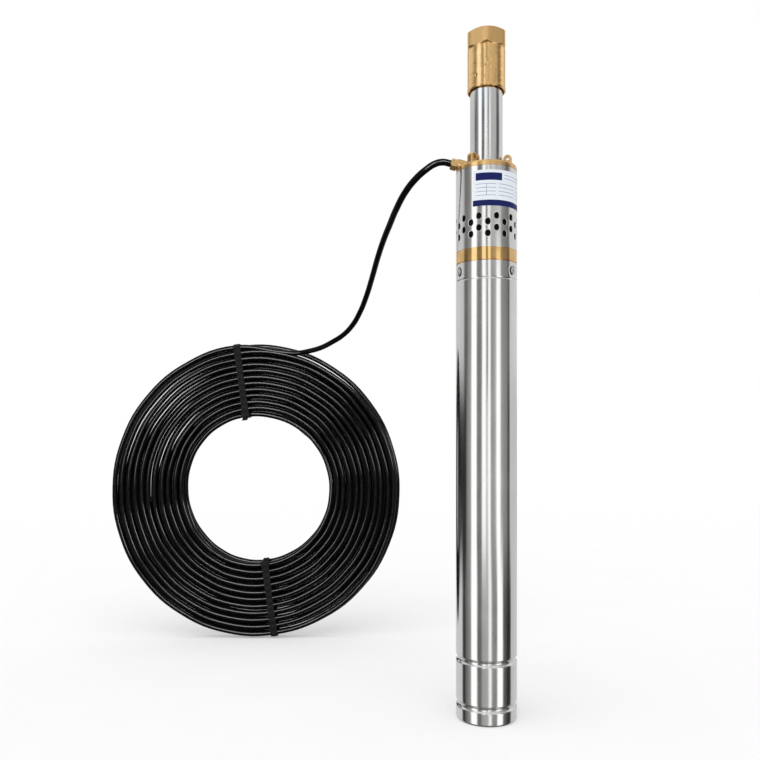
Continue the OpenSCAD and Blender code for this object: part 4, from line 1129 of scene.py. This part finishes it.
def roll_normals(mesh):
    """Gives faces on the rolled cylinder its exact normals, so that mirrored lines run straight."""
    normals = [corner.vector.copy() for corner in mesh.corner_normals]
    flat = [abs(hypot(v.co.x, v.co.y) - body_r) < 1e-6 for v in mesh.vertices]
    for face in mesh.polygons:
        if all(flat[v] for v in face.vertices):
            for corner, v in zip(face.loop_indices, face.vertices):
                place = mesh.vertices[v].co
                normals[corner] = Vector((place.x, place.y, 0)).normalized()
    mesh.normals_split_custom_set(normals)


class PUMP_OT_strainer(bpy.types.Operator):
    """Rolls the perforated strainer with a near-black sleeve behind its holes, painted shade that makes them
    show dark
    """

    bl_idname = "pump.strainer"
    bl_label = "Strainer"

    def execute(self, context):
        sheet = perforated_sheet()
        shade_sleeve = [[around(tau * k / SHADE_SLEEVE_SIDES, *place) for k in range(SHADE_SLEEVE_SIDES)]
                  for place in SHADE_SLEEVE_LINE]
        strainer = mesh_piece("punched_strainer", *merge([sheet, skin(shade_sleeve)]),
                              FINISHES["polished_stainless"], radians(40))
        # Painted shade: the sleeve behind the holes gets a near-black finish
        strainer.data.materials.append(FINISHES["painted_shade_sleeve"])
        for face in strainer.data.polygons:
            if face.index >= len(sheet[1]):
                face.material_index = 1
        roll_normals(strainer.data)
        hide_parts("strainer")
        return {"FINISHED"}


# The label's ruled lines: (left angle, right angle) of its columns, heights and thickness in millimetres
RULE_COLUMNS = ((-27.5, 10), (15, 52), (57, 106))
RULE_HEIGHTS = (12.4, 16.9, 21.4, 25.9)
RULE_THICK = 0.5
# The label's fields: (left angle, right angle, low, high, material index), later ones on top
LABEL_FIELDS = [
    (-40, 120, 0.0, 7.0, 1), (-27.5, 22, 30.5, 39.5, 1), (27, 106, 33.0, 33.5, 2), (27, 106, 37.0, 37.5, 2),
    (-8, -7.3, 12.4, 26.4, 2)]
LABEL_FIELDS += [(*column, low, low + RULE_THICK, 2) for column in RULE_COLUMNS for low in RULE_HEIGHTS]
# Widest steps of the label's mesh, round and up
LABEL_STEPS = (radians(2), 0.004)
# Heights of the label's face and back over the strainer
LABEL_LIFTS = (0.00014, 0.00002)
# The finishes of paper, bands and rules: mottle and gloss
LABEL_LOOKS = (("paper", 0.015, 0.2), ("band", 0.06, 0.12), ("rule", 0.04, 0.2))


class PUMP_OT_label(bpy.types.Operator):
    """Wraps the bare label round the strainer: coloured bands and empty ruled lines only"""

    bl_idname = "pump.label"
    bl_label = "Label"

    def execute(self, context):
        label = context.scene.pump_label
        left, right = label.left_angle, label.right_angle
        turns = set(climb(left, right, LABEL_STEPS[0]))
        rises = set(climb(label.bottom, label.top, LABEL_STEPS[1]))
        for from_turn, to_turn, low, high, _ in LABEL_FIELDS:
            turns |= {min(right, max(left, radians(from_turn))), min(right, max(left, radians(to_turn)))}
            rises |= {label.bottom + low * MM, label.bottom + high * MM}
        turns, rises = sorted(turns), sorted(rises)
        points, faces, kinds = [], [], []
        for lift in LABEL_LIFTS:
            points += [around(a, body_r + lift, z) for z in rises for a in turns]
        width, inside = len(turns), len(turns) * len(rises)
        for row in range(len(rises) - 1):
            for k in range(width - 1):
                first = row * width + k
                quad = (first, first + 1, first + width + 1, first + width)
                turn = (turns[k] + turns[k + 1]) / 2
                rise = (rises[row] + rises[row + 1]) / 2 - label.bottom
                kind = 0
                for from_turn, to_turn, low, high, field in LABEL_FIELDS:
                    if radians(from_turn) <= turn <= radians(to_turn) and low * MM <= rise <= high * MM:
                        kind = field
                faces += [quad, tuple(p + inside for p in reversed(quad))]
                kinds += [kind, 0]
        rim = [*range(width), *(row * width + width - 1 for row in range(1, len(rises)))]
        rim += [(len(rises) - 1) * width + k for k in range(width - 2, -1, -1)]
        rim += [row * width for row in range(len(rises) - 2, 0, -1)]
        for a, b in zip(rim, rim[1:] + rim[:1]):
            faces.append((b, a, a + inside, b + inside))
            kinds.append(0)
        colours = (label.paper_colour, label.band_colour, label.rule_colour)
        looks = [finish(f"label_{name}", colour, 0.0, 0.45, scale=120, mottle=mottle, relief=0.00003,
                        Specular_IOR_Level=gloss)
                 for (name, mottle, gloss), colour in zip(LABEL_LOOKS, colours)]
        sheet = mesh_piece("blank_label", points, faces, looks[0])
        for look in looks[1:]:
            sheet.data.materials.append(look)
        sheet.data.polygons.foreach_set("material_index", kinds)
        return {"FINISHED"}


# Rope eyes

EYE_TURNS = (radians(72), radians(192), radians(312))
# Distance from the pump axis, height of the foot, and height of the hole above it
EYE_REACH = 0.0265
EYE_FOOT = 0.678
EYE_RISE = 0.0095
# Half width, half thickness and hole radius; then the rounding of the outer edge and of the hole's mouth
EYE_HALF = 0.005
EYE_THICK = 0.0043
EYE_HOLE = 0.0025
EYE_ROUND = 0.0014
EYE_FLARE = 0.0005
# The stud under an eye: (radius, height above the cover)
EYE_STUD = (
    (0.0026, -0.026), (0.003, -0.0256), (0.003, 0.0), (0.0053, 0.0), (0.0053, 0.0012), (0.0047, 0.0019))


def eye_outline():
    """The eye's outline seen through its hole: (outwards, up from the hole) points."""
    line = [(EYE_HALF, -EYE_RISE * (1 - k / 6)) for k in range(6)]
    line += [(EYE_HALF * cos(pi * k / 24), EYE_HALF * sin(pi * k / 24)) for k in range(24)]
    line += [(-EYE_HALF, -EYE_RISE * k / 6) for k in range(6)]
    line += [(EYE_HALF * (k / 3 - 1), -EYE_RISE) for k in range(6)]
    return line


def rope_eye(turn):
    """Skins of one rope eye: a thick rounded lug with a flared hole, on its stud."""
    out, side, up = around(turn, 1, 0), around(turn + pi / 2, 1, 0), Vector((0, 0, 1))
    foot = around(turn, EYE_REACH, EYE_FOOT)
    line = eye_outline()

    def edge(way, arc):
        inset = EYE_ROUND * (1 - cos(arc)) / EYE_HALF
        along = way * (EYE_THICK - EYE_ROUND * (1 - sin(arc)))
        return [foot + side * along + out * (a * (1 - inset)) + up * (EYE_RISE + b - max(0.0, b) * inset)
                for a, b in line]

    def bore(way, arc):
        radius = EYE_HOLE + EYE_FLARE * (1 - cos(arc))
        along = way * (EYE_THICK - EYE_FLARE * (1 - sin(arc)))
        return [foot + side * along + (out * a + up * b) * (radius / hypot(a, b)) + up * EYE_RISE
                for a, b in line]

    arcs = [radians(90 * k / 5) for k in range(6)]
    rings = [edge(1, arc) for arc in arcs] + [bore(1, arc) for arc in reversed(arcs)]
    rings += [bore(-1, arc) for arc in arcs] + [edge(-1, arc) for arc in reversed(arcs)]
    stud = [circle(foot + up * rise, out, side, radius, 40) for radius, rise in EYE_STUD]
    return merge([skin(rings), skin(stud, False)])


class PUMP_OT_eyes(bpy.types.Operator):
    """Casts the three rope eyes on the cover"""

    bl_idname = "pump.eyes"
    bl_label = "Rope eyes"

    def execute(self, context):
        skins = [rope_eye(turn) for turn in EYE_TURNS]
        eyes = mesh_piece("rope_eyes", *merge(skins), FINISHES["machined_brass"])
        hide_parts("eye_screws")
        return {"FINISHED"}


# Outlet

HEX_HEIGHT = 0.8246
HEX_CORNER = 0.0255
HEX_FLAT = 0.023
HEX_CHAMFER = 0.8429
HEX_SOFT = 0.00035
OUTLET_BODY = 0.0232
OUTLET_LIP = 0.0236
OUTLET_RIM = 0.0222
OUTLET_PASSAGE = 0.014
TUBE_SEAT = 0.02002
# Parting ridge of the casting: angle, width, height over the body, growth upwards, height on the hexagon
RIDGE_ANGLE = radians(-7.4)
RIDGE_WIDTH = 0.0006
RIDGE_RISE = 0.0003
RIDGE_GROW, RIDGE_SPAN = 0.00045, (0.797, 0.808)
RIDGE_HEX, RIDGE_END = 0.0005, (0.002, 0.006)
# Unevenness of the cast wall, and the narrow neck just under the hexagon
CAST_UNEVEN = 0.00006
NECK_DEPTH = 0.00045
NECK_HALF = 0.0005
# Pipe thread: pitch, depth, crest radius, heights and run-out at both ends
THREAD_PITCH = 0.002309
THREAD_DEPTH = 0.001479
THREAD_CREST = 0.01515
THREAD_SPAN = (0.821, 0.8435)
THREAD_END = 0.002
# Share of its size in which a pit is dark
PIT_DARK = 0.75
# Casting marks: angle, height, size, depth
OUTLET_PITS = [
    (-46.8, 0.8002, 0.0011, 0.0009), (-8.9, 0.7978, 0.0009, 0.0008), (-40.5, 0.7869, 0.0012, 0.0005),
    (-18.1, 0.7833, 0.0010, 0.0008), (18.3, 0.7917, 0.0011, -0.0003), (64, 0.8120, 0.0010, 0.0006),
    (130, 0.7900, 0.0013, 0.0006), (205, 0.8060, 0.0010, 0.0007), (262, 0.7860, 0.0012, 0.0005),
]


def hex_radius(angle):
    """Radius of the hexagon with rounded corners, one of them over the ridge."""
    flat = HEX_FLAT / cos((angle - RIDGE_ANGLE) % (pi / 3) - pi / 6)
    return -HEX_SOFT * log(exp(-flat / HEX_SOFT) + exp(-HEX_CORNER / HEX_SOFT))


def pit_distance(angle, height, pit_angle, pit_height):
    """Distance along the outlet's wall to a casting mark."""
    return hypot(OUTLET_BODY * turn_between(angle, radians(pit_angle)), height - pit_height)


def outlet_shift(angle, radius, height):
    """Moves the outlet's rings to its hexagon, casting marks, parting ridge and inner thread."""
    if radius < OUTLET_RIM - 0.0001:
        low, high = THREAD_SPAN
        if radius > THREAD_CREST + 0.00005 or not low < height < high:
            return 0.0
        phase = (height / THREAD_PITCH + angle / tau) % 1.0
        ends = smooth(height, low, low + THREAD_END) * (1 - smooth(height, high - THREAD_END, high))
        return THREAD_DEPTH * ends * (1 - abs(2 * phase - 1))
    uneven = CAST_UNEVEN * noise.noise(Vector((5 * sin(angle), 5 * cos(angle), 230 * height)))
    ridge = exp(-(OUTLET_BODY * turn_between(angle, RIDGE_ANGLE) / RIDGE_WIDTH) ** 2)
    if height > HEX_HEIGHT:
        under = OUTLET_BODY + (height - HEX_HEIGHT) * 1.4
        over = HEX_CORNER - max(0.0, height - HEX_CHAMFER) * 2
        lump = RIDGE_HEX * ridge * (1 - smooth(height, *(HEX_HEIGHT + end for end in RIDGE_END)))
        return min(hex_radius(angle), under, over) + lump - radius + uneven
    uneven += ridge * (RIDGE_RISE + RIDGE_GROW * smooth(height, *RIDGE_SPAN))
    uneven -= NECK_DEPTH * exp(-((HEX_HEIGHT - NECK_HALF - height) / NECK_HALF) ** 2)
    for turn, rise, size, depth in OUTLET_PITS:
        uneven -= depth * exp(-(pit_distance(angle, height, turn, rise) / size) ** 2)
    return uneven


class PUMP_OT_outlet(bpy.types.Operator):
    """Casts the outlet: lip, round body with its parting ridge, hexagon and pipe thread"""

    bl_idname = "pump.outlet"
    bl_label = "Outlet"

    def execute(self, context):
        low, top = outlet_low.z, outlet_high.z
        line = fillet_line([
            (OUTLET_RIM, low, 0), (OUTLET_LIP, low, 0.0007), (OUTLET_LIP, low + 0.0030, 0.0004),
            (OUTLET_BODY, low + 0.0036, 0.0006), (OUTLET_BODY, low + 0.0044, 0)], 4)
        line += [(OUTLET_BODY, z) for z in climb(low + 0.005, HEX_HEIGHT, 0.0006)]
        line += [(HEX_CORNER, HEX_HEIGHT + z) for z in (0.0002, 0.0005, 0.0009, 0.0013, 0.0017, 0.0021)]
        line += [(HEX_CORNER, z) for z in climb(HEX_HEIGHT + 0.003, HEX_CHAMFER - 0.0006, 0.0014)]
        line += [(HEX_CORNER, HEX_CHAMFER + z) for z in (-0.0002, 0.0002, 0.0005, 0.0009, 0.0014)]
        line += [(HEX_CORNER, top - 0.0002), (0.0219, top), (0.0171, top), (0.01665, top - 0.0002)]
        line += [(THREAD_CREST, z) for z in reversed(climb(*THREAD_SPAN, THREAD_PITCH / 6))]
        line += [(OUTLET_PASSAGE, 0.8205), (OUTLET_PASSAGE, tube_top), (TUBE_SEAT, tube_top),
                 (TUBE_SEAT, low + 0.0062), (0.0214, low + 0.0055), (0.0218, low + 0.0012)]
        outlet = lathe("cast_outlet", line, FINISHES["cast_brass"], 360, outlet_shift)
        for own in ("milled_brass", "casting_pit"):
            outlet.data.materials.append(FINISHES[own])
        for face in outlet.data.polygons:
            place = face.center
            if hypot(place.x, place.y) < TUBE_SEAT - 0.00002:
                continue
            if place.z > HEX_HEIGHT + 0.0008:
                face.material_index = 1
            turn = atan2(place.x, -place.y)
            for pit, rise, size, depth in OUTLET_PITS:
                if depth > 0 and pit_distance(turn, place.z, pit, rise) < PIT_DARK * size:
                    face.material_index = 2
        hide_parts("outlet")
        return {"FINISHED"}


# Finishes

class PUMP_OT_finishes(bpy.types.Operator):
    """Gives every piece of the frame the finish of its material slot"""

    bl_idname = "pump.finishes"
    bl_label = "Finishes"

    def execute(self, context):
        FINISHES.update(all_finishes(context.scene.pump_metal, context.scene.pump_cable))
        for row in frame["record"]["subparts"]:
            data = frame["nodes"][row["node"]].data
            data.materials.clear()
            data.materials.append(FINISHES[row["material_slot"]])
        frame["nodes"]["inlet_seat"].data.materials[0] = FINISHES["bright_brass"]
        return {"FINISHED"}


class PUMP_PT_sidebar(bpy.types.Panel):
    """Lists the pump's pieces"""

    bl_label = "Borehole pump"
    bl_space_type = "VIEW_3D"
    bl_region_type = "UI"
    bl_category = "Pump"

    def draw(self, context):
        for operator in OPERATORS:
            self.layout.operator(operator.bl_idname)


GROUPS = {
    "pump_studio": PumpStudio,
    "pump_cable": PumpCable,
    "pump_label": PumpLabel,
    "pump_metal": PumpMetal,
}
OPERATORS = [
    PUMP_OT_studio, PUMP_OT_finishes, PUMP_OT_cable, PUMP_OT_barrel, PUMP_OT_screws, PUMP_OT_strainer,
    PUMP_OT_label, PUMP_OT_eyes, PUMP_OT_outlet,
]


def register():
    """Registers the classes and puts their properties on the scene."""
    for made in (*GROUPS.values(), *OPERATORS, PUMP_PT_sidebar):
        bpy.utils.register_class(made)
    for name, group in GROUPS.items():
        setattr(bpy.types.Scene, name, bpy.props.PointerProperty(type=group))


def unregister():
    """Takes the properties and the classes away again."""
    for name in GROUPS:
        delattr(bpy.types.Scene, name)
    for made in (PUMP_PT_sidebar, *reversed(OPERATORS), *GROUPS.values()):
        bpy.utils.unregister_class(made)


def main():
    """Builds the dressed pump."""
    register()
    for operator in OPERATORS:
        group, name = operator.bl_idname.split(".")
        getattr(getattr(bpy.ops, group), name)()


if __name__ == "__main__":
    main()
